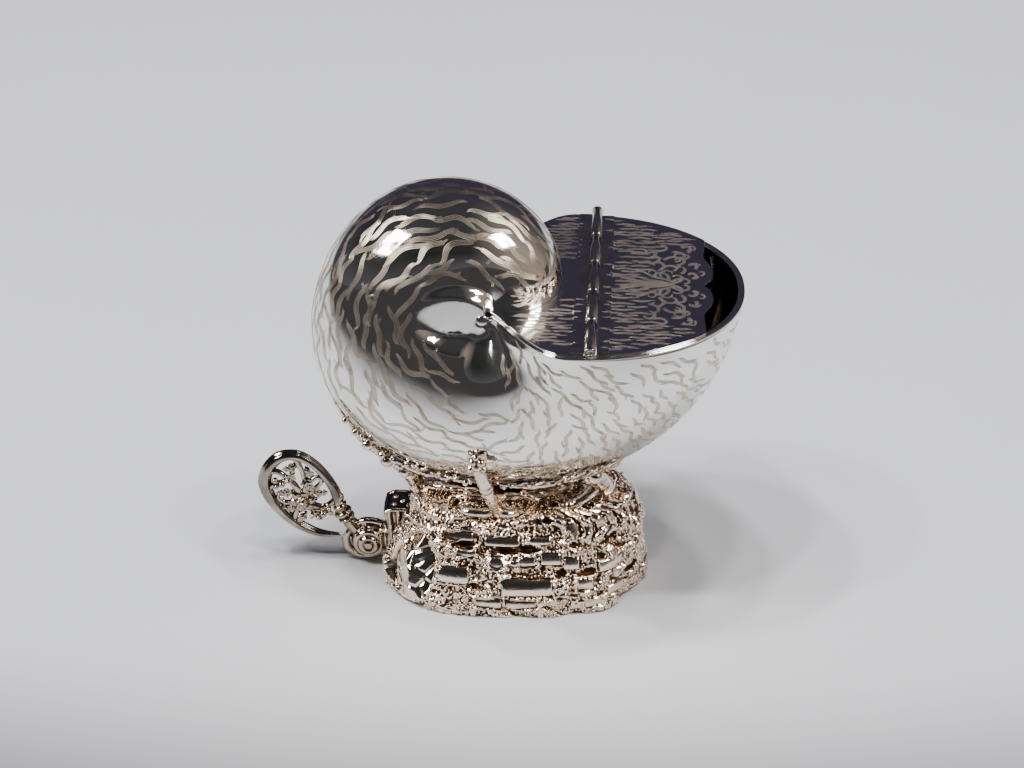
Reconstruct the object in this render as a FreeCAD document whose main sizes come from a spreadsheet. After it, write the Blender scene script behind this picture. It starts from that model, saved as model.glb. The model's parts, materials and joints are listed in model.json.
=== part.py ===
import FreeCAD, Part
import math
import os
from FreeCAD import Vector, Placement, Rotation

# Spoon warmer: a coiled shell vessel with a hinged lid, carried by cast coral
# branches on a hollow rock base, with a scroll handle at the back.
# Frame: +X towards the mouth lip, +Y to the object's left (far) side, +Z up.
# Origin: on the table, under the middle of the overall outline.

doc = FreeCAD.newDocument("spoon_warmer")
sheet = doc.addObject("Spreadsheet::Sheet", "Dims")
doc.recompute()

CELLS = [
    # coil axis and mouth plane, in the object's frame
    ("coil_axis_x", -2.18), ("mouth_height", 131.0),
    # coil radius at every 45 degrees, from the mouth lip down and round
    ("coil_rad_a", 95.96), ("coil_rad_b", 90.9), ("coil_rad_c", 85.6),
    ("coil_rad_d", 79.6), ("coil_rad_e", 63.3), ("coil_rad_f", 49.65),
    ("coil_rad_g", 37.9), ("coil_rad_h", 30.6), ("coil_rad_i", 28.5),
    # half width at the same places
    ("coil_wid_a", 52.1), ("coil_wid_b", 42.6), ("coil_wid_c", 36.0),
    ("coil_wid_d", 32.3), ("coil_wid_e", 29.8), ("coil_wid_f", 27.2),
    ("coil_wid_g", 24.8), ("coil_wid_h", 23.2), ("coil_wid_i", 22.4),
    ("navel_half_width", 22.0), ("crest_ratio", 0.334),
    ("flank_power", 2.15), ("flank_root", 2.1),
    ("sheet_gauge", 1.2), ("seat_depth", 9.0),
    # mouth
    ("plate_gauge", 1.0), ("band_gauge", 1.0), ("band_width", 2.6),
    # hinge
    ("hinge_forward", 40.1), ("hinge_rise", 2.4), ("tube_rad", 2.1),
    ("pin_rad", 0.9), ("lid_bore_rad", 0.95), ("knuckle_length", 21.0),
    ("knuckle_gap", 0.3), ("plate_setback", 2.0), ("strip_setback", 2.5),
    ("strip_width", 4.2), ("strip_gauge", 0.6), ("pin_recess", 1.0),
    # lid front edge
    ("lid_reach", 82.0), ("lobe_reach", 84.7), ("notch_reach", 81.2),
    # rock base
    ("rock_height", 38.0), ("rock_shift", 11.0), ("deck_gauge", 4.4), ("rock_wall", 3.8),
    ("saddle_length", 26.0), ("saddle_breadth", 11.0),
    # mounting stud
    ("stud_rad", 2.5), ("stud_hole_rad", 2.75), ("stud_length", 15.0),
    ("washer_rad", 7.0), ("washer_gauge", 1.2), ("nut_across", 5.2),
    ("nut_gauge", 4.0),
    # coral and handle bars
    ("coral_bar", 3.0), ("loop_bar", 2.4), ("boss_rad", 7.4),
    ("bead_rad", 1.5), ("handle_stud_rad", 1.5), ("handle_nut_across", 3.6),
]
for row, (name, value) in enumerate(CELLS, start=1):
    sheet.set("A%d" % row, name)
    sheet.set("B%d" % row, repr(value))
    sheet.setAlias("B%d" % row, name)
doc.recompute()


def dim(name):
    return float(getattr(sheet, name))


AX = dim("coil_axis_x")
MZ = dim("mouth_height")
EXPORT = []


def place(x, y, z):
    """A point given from the coil axis and the mouth plane."""
    return Vector(AX + x, y, MZ + z)


# ---------------------------------------------------------------- shell form
RAD = [dim("coil_rad_" + k) for k in "abcdefghi"]
WID = [dim("coil_wid_" + k) for k in "abcdefghi"]


def spline_moments(v):
    """Second derivatives of a natural cubic spline, unit knot spacing."""
    n = len(v)
    a = [0.0] * n
    d = [0.0] * n
    m = [0.0] * n
    for i in range(1, n - 1):
        w = 4.0 - a[i - 1]
        a[i] = 1.0 / w
        d[i] = (6.0 * (v[i + 1] - 2 * v[i] + v[i - 1]) - d[i - 1]) / w
    for i in range(n - 2, 0, -1):
        m[i] = d[i] - a[i] * m[i + 1]
    return m


RADM = spline_moments(RAD)
WIDM = spline_moments(WID)


def knot_value(v, m, th):
    u = max(0.0, min(8.0, math.degrees(th) / 45.0))
    i = min(7, int(u))
    f = u - i
    g = 1.0 - f
    return (g * v[i] + f * v[i + 1]
            + ((g ** 3 - g) * m[i] + (f ** 3 - f) * m[i + 1]) / 6.0)


def half_width(q, wide, navel):
    """Half width at the fraction q of the coil radius."""
    tm = dim("crest_ratio")
    if q > tm:
        k = min(1.0, (q - tm) / (1.0 - tm))
        return wide * max(0.0, 1.0 - k ** dim("flank_power")) ** (1.0 / dim("flank_root"))
    return navel + (wide - navel) * math.sin(math.pi / 2 * max(0.0, q) / tm) ** 1.3


def shell_point(th, q, side, inset=0.0):
    r = knot_value(RAD, RADM, th) - inset
    w = knot_value(WID, WIDM, th) - inset
    y = half_width(q, w, dim("navel_half_width") - inset)
    return place(q * r * math.cos(th), side * y, -q * r * math.sin(th))


def shell_normal(th, q, side):
    e = 1e-3
    a = shell_point(th + e, q, side) - shell_point(th - e, q, side)
    b = shell_point(th, min(1.0, q + e), side) - shell_point(th, q - e, side)
    n = a.cross(b)
    n.normalize()
    c = shell_point(th, q, side) - place(0, side * 8.0, 0)
    return n if n.dot(c) > 0 else n * -1.0


def on_shell(deg, q, lift, side=-1):
    th = math.radians(deg)
    return shell_point(th, q, side) + shell_normal(th, q, side) * lift


def wall_solid(inset, side, inner_start=1.0):
    """Closed wall between the outer form and the form inset by a gauge."""
    nth, nq = 49, 24

    part_turn = math.radians(0.3)

    def face(ins):
        rows = []
        for i in range(nth):
            th = part_turn + 2 * (math.pi - part_turn) * i / (nth - 1)
            r = knot_value(RAD, RADM, th) - ins
            q0 = inner_start / r
            row = []
            for j in range(nq):
                k = j / (nq - 1.0)
                q = q0 + (1 - q0) * (1 - (1 - k) ** 2.1)
                row.append(shell_point(th, q, side, ins))
            rows.append(row)
        s = Part.BSplineSurface()
        s.interpolate(rows)
        return s.toShape()

    outer, inner = face(0.0), face(inset)
    faces = [outer, inner]
    for a, b in zip(outer.Edges, inner.Edges):
        faces.append(Part.makeRuledSurface(a, b))
    shell = Part.makeShell(faces)
    shell.sewShape()
    solid = Part.makeSolid(shell)
    if solid.Volume < 0:
        solid.reverse()
    return solid


def feature(name, shape):
    f = doc.addObject("Part::Feature", name)
    f.Shape = shape
    return f


def keep(obj, label):
    obj.Label = label
    EXPORT.append(obj)
    return obj


def cut(name, base, tool):
    c = doc.addObject("Part::Cut", name)
    c.Base = base
    c.Tool = tool
    return c


def fuse(name, parts):
    c = doc.addObject("Part::MultiFuse", name)
    c.Shapes = parts
    return c


def group(name, parts):
    c = doc.addObject("Part::Compound", name)
    c.Links = parts
    return c


# the slot that the mouth band and the cover plate fill, from the coil axis
# forward
slot = doc.addObject("Part::Box", "mouth_slot")
slot.setExpression("Length", "Dims.coil_rad_a + 20")
slot.Width = 160
slot.setExpression("Height", "Dims.band_gauge + Dims.plate_gauge")
slot.setExpression("Placement.Base.x", "Dims.coil_axis_x")
slot.setExpression("Placement.Base.y", "-80")
slot.setExpression("Placement.Base.z", "Dims.mouth_height - Dims.band_gauge")

halves = []
seats = []
for side, tag in ((-1, "right"), (1, "left")):
    wall = feature("wall_" + tag, wall_solid(dim("sheet_gauge"), side))
    button = doc.addObject("Part::Sphere", "navel_button_" + tag)
    button.Radius = 1.6
    button.setExpression("Placement.Base.x", "Dims.coil_axis_x")
    button.setExpression("Placement.Base.y", "%d * (Dims.navel_half_width - 0.4)" % side)
    button.setExpression("Placement.Base.z", "Dims.mouth_height")
    whole = fuse("half_whole_" + tag, [wall, button])
    half = keep(cut("half_" + tag, whole, slot), "shell_%s_half" % tag)
    halves.append(half)
    seats.append(feature("seat_" + tag, wall_solid(dim("seat_depth"), side)))


def off_shell(name, obj, sides=(-1, 1)):
    """A piece trimmed to the shell's outside on the sides it touches."""
    for s in sides:
        obj = cut("%s_seat_%d" % (name, s + 1), obj, seats[0 if s < 0 else 1])
    return obj


# ------------------------------------------------------------- mouth outline


def rim_point(x, inset=0.0):
    """Point on the near rim, measured from the coil axis, stepped inward."""
    r, w, nv = RAD[0], WID[0], dim("navel_half_width")
    y = half_width(x / r, w, nv)
    if inset == 0.0:
        return x, y
    e = 0.02
    xa, xb = max(0.0, x - e), min(r, x + e)
    ya, yb = half_width(xa / r, w, nv), half_width(xb / r, w, nv)
    tx, ty = xb - xa, yb - ya
    n = math.hypot(tx, ty)
    return x + inset * ty / n, y - inset * tx / n


def rim_xs(x0, x1, n, lip):
    """Sample places along the rim, closer together near the lip."""
    if not lip:
        return [x0 + (x1 - x0) * i / (n - 1.0) for i in range(n)]
    return [x0 + (x1 - x0) * (1 - (1 - i / (n - 1.0)) ** 2.1) for i in range(n)]


def spline(points):
    c = Part.BSplineCurve()
    c.interpolate([Vector(AX + p[0], p[1], 0) for p in points])
    return c


def plane_of(body, role):
    for f in body.Origin.OriginFeatures:
        if f.Role == role:
            return f


def new_body(name):
    return doc.addObject("PartDesign::Body", name)


def new_sketch(body, name, role="XY_Plane", offset=None):
    s = body.newObject("Sketcher::SketchObject", name)
    s.AttachmentSupport = [(plane_of(body, role), "")]
    s.MapMode = "FlatFace"
    if offset is not None:
        s.AttachmentOffset = offset
    return s


def plate_body(name, curves, z_expr, gauge_expr):
    """A flat plate padded up from a closed outline."""
    body = new_body(name)
    sk = new_sketch(body, name + "_outline")
    for c in curves:
        sk.addGeometry(c, False)
    sk.setExpression("AttachmentOffset.Base.z", z_expr)
    doc.recompute()
    pad = body.newObject("PartDesign::Pad", name + "_pad")
    pad.Profile = sk
    pad.setExpression("Length", gauge_expr)
    doc.recompute()
    return body


def line(a, b):
    return Part.LineSegment(Vector(AX + a[0], a[1], 0), Vector(AX + b[0], b[1], 0))


# mouth band: a flat ring soldered on the shell's cut edge
lip = RAD[0]


def band_width_at(x):
    f = max(0.0, min(1.0, (x - 1.0) / 11.0))
    return 1.1 + (dim("band_width") - 1.1) * f * f * (3 - 2 * f)


xs = rim_xs(1.0, lip, 34, True)
near = [rim_point(x) for x in xs]
outer = [(x, -y) for x, y in near] + [(x, y) for x, y in reversed(near[:-1])]
inn = [rim_point(x, band_width_at(x)) for x in xs[:-1]]
inn = [p for p in inn if p[1] > 0.8]
tip = (lip - dim("band_width"), 0.0)
inner = [(x, -y) for x, y in inn] + [tip] + [(x, y) for x, y in reversed(inn)]
keep(plate_body("band", [spline(outer), line(outer[-1], inner[-1]),
                         spline(inner), line(inner[0], outer[0])],
                "Dims.mouth_height - Dims.band_gauge", "Dims.band_gauge"), "mouth_band")

# fixed cover: from the coil forward to the hinge
cover_edge = dim("hinge_forward") - dim("plate_setback")
xs = rim_xs(1.0, cover_edge, 16, False)
near = [rim_point(x) for x in xs]
a = [(x, -y) for x, y in near]
b = [(x, y) for x, y in near]
keep(plate_body("cover", [spline(a), line(a[-1], b[-1]), spline(b), line(b[0], a[0])],
                "Dims.mouth_height", "Dims.plate_gauge"), "fixed_cover")

# lid: from the hinge to the lobed front edge that leaves the spoon gap
lid_edge = dim("hinge_forward") + dim("plate_setback")
xs = rim_xs(lid_edge, dim("lid_reach"), 20, False)
near = [rim_point(x, 0.05) for x in xs]
a = [(x, -y) for x, y in near]
b = [(x, y) for x, y in near]
yc = near[-1][1]
lobe = [(dim("notch_reach"), 0.0), (dim("lobe_reach") - 1.3, 3.4),
        (dim("lobe_reach"), 9.6), (dim("lobe_reach") - 1.7, 16.4),
        (dim("notch_reach") + 0.2, 20.6), (dim("notch_reach") + 0.4, 27.0),
        (near[-1][0], yc)]
front_near = [(x, -y) for x, y in reversed(lobe)]
keep(plate_body("lid", [spline(a), spline(front_near), spline(lobe), spline(b),
                        line(b[0], a[0])],
                "Dims.mouth_height", "Dims.plate_gauge"), "lid_plate")

# -------------------------------------------------------------------- hinge
Y_AXIS = Rotation(Vector(1, 0, 0), -90)


def rod(name, rad_expr, y0, y1, trim=0.0):
    c = doc.addObject("Part::Cylinder", name)
    c.setExpression("Radius", rad_expr)
    c.Height = y1 - y0 - 2 * trim
    c.Placement = Placement(Vector(AX + dim("hinge_forward"), y0 + trim,
                                   MZ + dim("hinge_rise")), Y_AXIS)
    return c


kl = dim("knuckle_length")
half_len = 2.5 * kl
gap = dim("knuckle_gap") / 2
knuckles = [(-half_len + i * kl, -half_len + (i + 1) * kl) for i in range(5)]


def tubes(name, which, bore):
    out = []
    for i in which:
        y0, y1 = knuckles[i]
        y0 += gap if i > 0 else 0
        y1 -= gap if i < 4 else 0
        t = rod("%s_skin_%d" % (name, i), "Dims.tube_rad", y0, y1)
        h = rod("%s_bore_%d" % (name, i), bore, y0 - 1, y1 + 1)
        out.append(cut("%s_tube_%d" % (name, i), t, h))
    return group(name, out)


keep(tubes("cover_tubes", (0, 2, 4), "Dims.pin_rad"), "cover_hinge_tubes")
keep(tubes("lid_tubes", (1, 3), "Dims.lid_bore_rad"), "lid_hinge_tubes")
keep(rod("pin", "Dims.pin_rad", -half_len, half_len, dim("pin_recess")), "hinge_pin")


def strip(name, sign, which):
    """Leaf soldered on a plate, with tabs that reach its own tubes."""
    parts = []
    x_in = dim("hinge_forward") + sign * dim("strip_setback")
    x_out = x_in + sign * dim("strip_width")
    reach = min(rim_point(x_in)[1], rim_point(x_out)[1]) - 1.0
    main = doc.addObject("Part::Box", name + "_leaf")
    main.setExpression("Length", "Dims.strip_width")
    main.Width = 2 * reach
    main.setExpression("Height", "Dims.strip_gauge")
    main.Placement = Placement(place(min(x_in, x_out), -reach, dim("plate_gauge")), Rotation())
    parts.append(main)
    for i in which:
        y0, y1 = knuckles[i]
        y0 = max(y0 + gap, -reach)
        y1 = min(y1 - gap, reach)
        tab = doc.addObject("Part::Box", "%s_tab_%d" % (name, i))
        tab.setExpression("Length", "Dims.strip_setback")
        tab.Width = y1 - y0
        tab.setExpression("Height", "Dims.strip_gauge")
        x0 = dim("hinge_forward") if sign > 0 else x_in
        tab.Placement = Placement(place(x0, y0, dim("plate_gauge")), Rotation())
        parts.append(tab)
    bar = rod(name + "_clear", "Dims.tube_rad", -half_len - 2, half_len + 2)
    return cut(name, fuse(name + "_all", parts), bar)


keep(strip("cover_strip", -1, (0, 2, 4)), "cover_hinge_strip")
keep(strip("lid_strip", 1, (1, 3)), "lid_hinge_strip")

# ---------------------------------------------------------------- rock base
ROCK = [
    # height, then the outline going round from the handle side, near side first
    (0.0, [(-35.2, -5), (-40, -10), (-38.2, -19), (-33.6, -24.4), (-21, -32.8), (-5, -35.2),
           (14, -35.6), (31, -33.6), (46, -29.4), (55, -20.4), (61.8, -9.6),
           (62.6, 4.0), (59, 16), (50, 26.4), (36, 32.6), (18, 35.2), (0, 35.6),
           (-18, 33.4), (-31, 26), (-35.0, 13)]),
    (13.0, [(-34.4, -5), (-39, -10), (-37.2, -18), (-32.4, -22.4), (-20.4, -29.6), (-5, -31.8),
            (14, -32.0), (31, -30.6), (46, -27.0), (55, -18.8), (61.0, -9.0),
            (61.6, 4.0), (57.6, 15), (48, 24), (35, 29.4), (18, 31.6), (0, 32),
            (-17.6, 30), (-30, 23.6), (-34.2, 12)]),
    (26.0, [(-30.4, -5), (-32.6, -9), (-31.2, -14.4), (-27.4, -19.0), (-18.4, -24.6), (-5, -26.8),
            (14, -27.4), (31, -26.8), (45, -24.0), (54, -17.0), (59.4, -8.4),
            (60.0, 4.0), (56, 14), (46, 21.6), (34, 26.2), (18, 27.6), (0, 27.4),
            (-16, 25.4), (-26.8, 19.4), (-30.2, 11)]),
    (38.0, [(-27.6, -4), (-28.4, -7), (-27.4, -11), (-24.6, -14.8), (-16.4, -19.8), (-5, -22.4),
            (13, -23.0), (29, -22.6), (42, -19.6), (50, -14.0), (55, -7.0),
            (55.6, 3.0), (52, 11.6), (43, 17.8), (31, 21.6), (16, 22.8), (0, 22.6),
            (-14.4, 20.8), (-24, 15.6), (-28, 9)]),
]


def poly_sketch(body, name, pts, z):
    sk = new_sketch(body, name, "XY_Plane", Placement(Vector(0, 0, z), Rotation()))
    n = len(pts)
    vs = [Vector(AX + x, y, 0) for x, y in pts]
    for i in range(n):
        sk.addGeometry(Part.LineSegment(vs[i], vs[(i + 1) % n]), False)
    return sk


def shrink(pts, d):
    """Outline stepped inward towards its middle by a wall thickness."""
    cx = dim("rock_shift")
    out = []
    for x, y in pts:
        r = math.hypot((x - cx), y)
        k = (r - d) / r
        out.append((cx + (x - cx) * k, y * k))
    return out


rock = new_body("rock")
secs = [poly_sketch(rock, "rock_level_%d" % i, pts, z) for i, (z, pts) in enumerate(ROCK)]
doc.recompute()
loft = rock.newObject("PartDesign::AdditiveLoft", "rock_form")
loft.Profile = secs[0]
loft.Sections = secs[1:]
loft.Ruled = True
doc.recompute()
deck_z = dim("rock_height") - dim("deck_gauge")
hollow = [poly_sketch(rock, "hollow_level_%d" % i, shrink(ROCK[k][1], d), z)
          for i, (k, d, z) in enumerate(((0, dim("rock_wall"), 0.0), (1, dim("rock_wall") + 0.2, 13.0),
                                         (2, dim("rock_wall") + 0.9, 26.0),
                                         (3, dim("rock_wall"), deck_z)))]
doc.recompute()
inside = rock.newObject("PartDesign::SubtractiveLoft", "rock_hollow")
inside.Profile = hollow[0]
inside.Sections = hollow[1:]
inside.Ruled = True
doc.recompute()
hole_sk = new_sketch(rock, "stud_hole_outline", "XY_Plane")
hole_sk.addGeometry(Part.Circle(Vector(AX + 6.0, 0, 0), Vector(0, 0, 1), 2.75), False)
hole_sk.setExpression("AttachmentOffset.Base.z", "Dims.rock_height")
doc.recompute()
hole = rock.newObject("PartDesign::Pocket", "stud_hole")
hole.Profile = hole_sk
hole.setExpression("Length", "Dims.deck_gauge + 2")
doc.recompute()
v_before = hole.Shape.Volume
side_sk = new_sketch(rock, "handle_hole_outline", "YZ_Plane",
                     Placement(Vector(0, 0, AX - 46.0), Rotation()))
side_sk.addGeometry(Part.Circle(Vector(0, MZ - 112.0, 0), Vector(0, 0, 1), 1.5), False)
doc.recompute()
side_hole = rock.newObject("PartDesign::Pocket", "handle_hole")
side_hole.Profile = side_sk
side_hole.Length = 24.0
side_hole.Reversed = True
doc.recompute()
if side_hole.Shape.Volume > v_before - 5:
    raise RuntimeError("the handle hole cut nothing")
keep(rock, "rock_base")

# ------------------------------------------------------------------- saddle


def ellipse_obj(name, x, z, a, b):
    e = doc.addObject("Part::Ellipse", name)
    e.MajorRadius = a
    e.MinorRadius = b
    e.Placement = Placement(place(x, 0, z), Rotation())
    return e


top_z = dim("rock_height") - MZ
s0 = ellipse_obj("saddle_foot", 6.0, top_z, dim("saddle_length"), dim("saddle_breadth"))
s1 = ellipse_obj("saddle_waist", 6.0, top_z + 3.2, dim("saddle_length") - 4.0, dim("saddle_breadth") - 2.5)
s2 = ellipse_obj("saddle_head", 6.0, top_z + 10.5, dim("saddle_length") - 2.0, dim("saddle_breadth") - 0.5)
s0.setExpression("MajorRadius", "Dims.saddle_length")
s0.setExpression("MinorRadius", "Dims.saddle_breadth")
sad = doc.addObject("Part::Loft", "saddle_form")
sad.Sections = [s0, s1, s2]
sad.Solid = True
sad.Ruled = False
keep(off_shell("saddle", sad), "support_saddle")

stud = doc.addObject("Part::Cylinder", "stud")
stud.setExpression("Radius", "Dims.stud_rad")
stud.setExpression("Height", "Dims.stud_length")
stud.setExpression("Placement.Base.x", "Dims.coil_axis_x + 6")
stud.setExpression("Placement.Base.z", "Dims.rock_height - Dims.stud_length")
keep(stud, "saddle_stud")


def ring_piece(name, rad, bore, z_expr, gauge_expr, prism=False):
    if prism:
        o = doc.addObject("Part::Prism", name + "_blank")
        o.Polygon = 6
        o.setExpression("Circumradius", rad)
    else:
        o = doc.addObject("Part::Cylinder", name + "_blank")
        o.setExpression("Radius", rad)
    o.setExpression("Height", gauge_expr)
    o.setExpression("Placement.Base.x", "Dims.coil_axis_x + 6")
    o.setExpression("Placement.Base.z", z_expr)
    h = doc.addObject("Part::Cylinder", name + "_hole")
    h.setExpression("Radius", bore)
    h.setExpression("Height", gauge_expr)
    h.setExpression("Placement.Base.x", "Dims.coil_axis_x + 6")
    h.setExpression("Placement.Base.z", z_expr)
    return cut(name, o, h)


keep(ring_piece("washer", "Dims.washer_rad", "Dims.stud_rad",
                "Dims.rock_height - Dims.deck_gauge - Dims.washer_gauge",
                "Dims.washer_gauge"), "stud_washer")
keep(ring_piece("nut", "Dims.nut_across", "Dims.stud_rad",
                "Dims.rock_height - Dims.deck_gauge - Dims.washer_gauge - Dims.nut_gauge",
                "Dims.nut_gauge", True), "stud_nut")

# ------------------------------------------------------------ coral branches


def bar(name, pts, rads, cell="coral_bar", start_way=None):
    """A round cast bar of changing thickness along a path of points."""
    secs = []
    n = len(pts)
    ref = dim(cell)
    runs = []
    for i in range(n):
        t = pts[min(n - 1, i + 1)] - pts[max(0, i - 1)]
        t.normalize()
        runs.append(t)
    if start_way is not None:
        runs[0] = Vector(start_way)
        runs[0].normalize()
    # one fixed direction keeps the rings' seams in line along the bar
    side_way = min((Vector(0, 1, 0), Vector(1, 0, 0), Vector(0, 0, 1)),
                   key=lambda v: max(abs(v.dot(t)) for t in runs))
    for i, (p, r, t) in enumerate(zip(pts, rads, runs)):
        c = doc.addObject("Part::Circle", "%s_ring_%d" % (name, i))
        c.setExpression("Radius", "Dims.%s * %.4f" % (cell, r / ref))
        c.Placement = Placement(p, Rotation(side_way - t * side_way.dot(t), Vector(0, 0, 0), t, "ZXY"))
        secs.append(c)
    lf = doc.addObject("Part::Loft", name + "_form")
    lf.Sections = secs
    lf.Solid = True
    lf.Ruled = False
    return lf


def knob(name, p, rad, cell="coral_bar"):
    s = doc.addObject("Part::Sphere", name)
    s.setExpression("Radius", "Dims.%s * %.4f" % (cell, rad / dim(cell)))
    s.Placement = Placement(p, Rotation())
    return s


def above_rock(name):
    """Everything under the rock's top face."""
    b = doc.addObject("Part::Box", name)
    b.Length = 160
    b.Width = 120
    b.setExpression("Height", "Dims.rock_height")
    b.Placement = Placement(place(-80, -60, -MZ), Rotation())
    return b


RAW = {}


def coral(label, pts, rads, knobs=(), others=(), sides=(-1,), arms=()):
    """A branch cast to sit against the shell, on the rock and against others."""
    parts = [bar(label, pts, rads)] + list(arms)
    for i, (p, r) in enumerate(knobs):
        parts.append(knob("%s_knob_%d" % (label, i), p, r))
    c = parts[0] if len(parts) == 1 else fuse(label + "_sum", parts)
    RAW[label] = c
    c = off_shell(label, c, sides)
    for i, o in enumerate(others):
        c = cut("%s_off_%d" % (label, i), c, RAW[o])
    c = cut(label + "_on_rock", c, above_rock(label + "_rock"))
    return keep(c, label)


coral("branch_left",
             [on_shell(131, .985, .5), on_shell(126, .985, 1.6), on_shell(121, .99, 2.4),
              on_shell(115.5, .992, 3.0), on_shell(110.5, .994, 4.6), place(-26.4, -2.6, -95.5)],
             [0.9, 1.9, 2.6, 3.1, 3.4, 4.2],
             [(on_shell(124, .985, 2.2), 2.6), (on_shell(117.5, .985, 3.0), 3.4),
              (on_shell(111.5, .985, 4.4), 4.0)], (), (-1, 1))


def foot(name, s):
    """Curled root that spreads over the rock at the branch's lower end."""
    return bar(name, [place(12.4, s * 17.8, -92.0), place(8.2, s * 19.4, -91.6),
                      place(3.0, s * 21.0, -91.4), place(-2.6, s * 21.8, -91.4),
                      place(-7.6, s * 20.8, -91.6), place(-9.8, s * 17.8, -91.8),
                      place(-7.0, s * 15.4, -92.0), place(-3.4, s * 16.6, -92.0)],
               [1.0, 1.7, 1.9, 1.8, 1.7, 1.6, 1.5, 1.0])


for s, tag in ((-1, "front"), (1, "back")):
    coral("branch_" + tag,
                        [place(5.4, s * 19.0, -94.5), place(4.2, s * 22.6, -88.5),
                         place(2.4, s * 26.2, -80.5), place(0.4, s * 28.6, -72.5),
                         on_shell(91.6, .735, .4, s)],
                        [2.5, 2.2, 2.4, 2.6, 2.1], (), (), (s,), [foot(tag + "_foot", s)])
coral("branch_right",
              [place(47.0, -4.0, -95.0), place(46.6, -6.0, -90.0), place(45.0, -8.5, -84.5),
               on_shell(62, .955, 2.0)],
              [4.2, 3.6, 3.4, 3.2],
              [(on_shell(60, .94, 2.4), 3.6), (place(46.4, -5.0, -88.5), 4.4)])
for s, tag in ((-1, "front"), (1, "back")):
    coral("%s_leaf" % tag,
          [on_shell(91.0, .692, .7, s), on_shell(90.4, .668, 1.3, s),
           on_shell(89.4, .636, 1.3, s), on_shell(88.4, .596, .7, s)],
          [1.0, 2.5, 2.3, 1.1],
          [(on_shell(87.6, .652, .9, s), 2.0)],
          (), (s,))
coral("left_twig",
      [on_shell(115, .95, 1.0), on_shell(109.5, .93, 1.3), on_shell(103.5, .915, 1.2),
       on_shell(97.5, .90, 1.0), on_shell(92, .89, .6)],
      [1.5, 1.9, 1.7, 1.5, 1.0],
      [(on_shell(106.5, .925, 1.6), 2.1), (on_shell(100.2, .908, 1.4), 1.9)], ["branch_left"])
coral("right_leaf",
      [on_shell(68.5, .90, .8), on_shell(65, .89, 1.6), on_shell(60.5, .885, 1.9),
       on_shell(56, .895, 1.4), on_shell(51.5, .915, .4)],
      [1.5, 2.9, 3.2, 2.2, 0.8],
      [(on_shell(63, .865, 1.2), 2.6), (on_shell(58, .88, 1.2), 2.2)], ["branch_right"])
coral("right_twig",
      [on_shell(69, .935, 1.2), on_shell(73, .93, 1.5), on_shell(77.5, .925, 1.4),
       on_shell(82, .92, .9)],
      [2.0, 1.9, 1.6, 0.9],
      [(on_shell(71, .93, 1.4), 2.3), (on_shell(75.5, .93, 1.2), 1.9)], ["branch_right"])

# ------------------------------------------------------------------- handle
LOOP = [(-59.9, -103.2), (-61.6, -97.2), (-65.8, -89.9), (-70.0, -85.2), (-74.4, -82.5),
        (-78.8, -82.1), (-83.2, -83.8), (-87.0, -88.4), (-88.9, -94.6), (-88.0, -100.2),
        (-85.2, -105.8), (-80.2, -112.0), (-74.6, -116.6), (-67.6, -119.6), (-60.4, -120.2)]
LOOPR = [2.2, 2.1, 2.1, 2.1, 2.2, 2.3, 2.5, 2.6, 2.7, 2.7, 2.6, 2.4, 2.1, 1.6, 0.9]
JOIN_WAY = Vector(-3.2, 0, 11.2)
loop = bar("loop", [place(x, 0, z) for x, z in LOOP], LOOPR, "loop_bar", JOIN_WAY)
keep(loop, "handle_loop")

stem_bar = bar("neck", [place(-59.9, 0, -103.2), place(-58.4, 0, -108.4),
                        place(-55.4, 0, -113.6), place(-51.4, 0, -118.0)],
               [2.2, 2.5, 2.9, 3.4], "loop_bar", JOIN_WAY * -1.0)
boss = doc.addObject("Part::Sphere", "boss_ball")
boss.setExpression("Radius", "Dims.boss_rad")
boss.Placement = Placement(place(-47.8, 0, -121.0), Rotation())
neck_ring = doc.addObject("Part::Torus", "neck_ring_form")
neck_ring.Radius1 = 2.6
neck_ring.Radius2 = 1.3
neck_ring.Placement = Placement(place(-58.2, 0, -108.8),
                                Rotation(Vector(0, 0, 1), Vector(0.42, 0, -0.90)))
keep(cut("neck_clear", stem_bar, boss), "handle_neck")
keep(cut("neck_ring", neck_ring, stem_bar), "handle_neck_ring")
keep(boss, "handle_boss")

# collar between the boss and the bracket block, on one short axis
X_AXIS = Rotation(Vector(0, 1, 0), 90)
collar = doc.addObject("Part::Cone", "collar_form")
collar.Radius1 = 5.2
collar.Radius2 = 6.6
collar.Height = 4.0
collar.Placement = Placement(place(-43.2, 0, -118.4), X_AXIS)
keep(cut("collar", collar, boss), "handle_collar")

block = new_body("block")
bs = new_sketch(block, "block_outline", "XZ_Plane")
BLOCK = [(-39.2, -125.6), (-39.2, -110.4), (-41.2, -103.4), (-37.8, -101.6), (-29.0, -101.4),
         (-35.3, -125.6)]
for i in range(len(BLOCK)):
    p, q = BLOCK[i], BLOCK[(i + 1) % len(BLOCK)]
    bs.addGeometry(Part.LineSegment(Vector(AX + p[0], MZ + p[1], 0),
                                    Vector(AX + q[0], MZ + q[1], 0)), False)
doc.recompute()
bp = block.newObject("PartDesign::Pad", "block_pad")
bp.Profile = bs
bp.Length = 14.0
bp.Midplane = True
doc.recompute()
hs = doc.addObject("Part::Cylinder", "bracket_stud_form")
hs.setExpression("Radius", "Dims.handle_stud_rad")
hs.Height = 16.6
hs.Placement = Placement(place(-38.6, 0, -112.0), X_AXIS)
keep(hs, "handle_stud")
keep(cut("bracket", cut("block_off_rock", block, rock), hs), "handle_bracket")
hn = doc.addObject("Part::Prism", "bracket_nut_form")
hn.Polygon = 6
hn.setExpression("Circumradius", "Dims.handle_nut_across")
hn.Height = 3.0
hn.Placement = Placement(place(-25.2, 0, -112.0), X_AXIS)
keep(cut("bracket_nut", hn, hs), "handle_nut")

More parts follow.
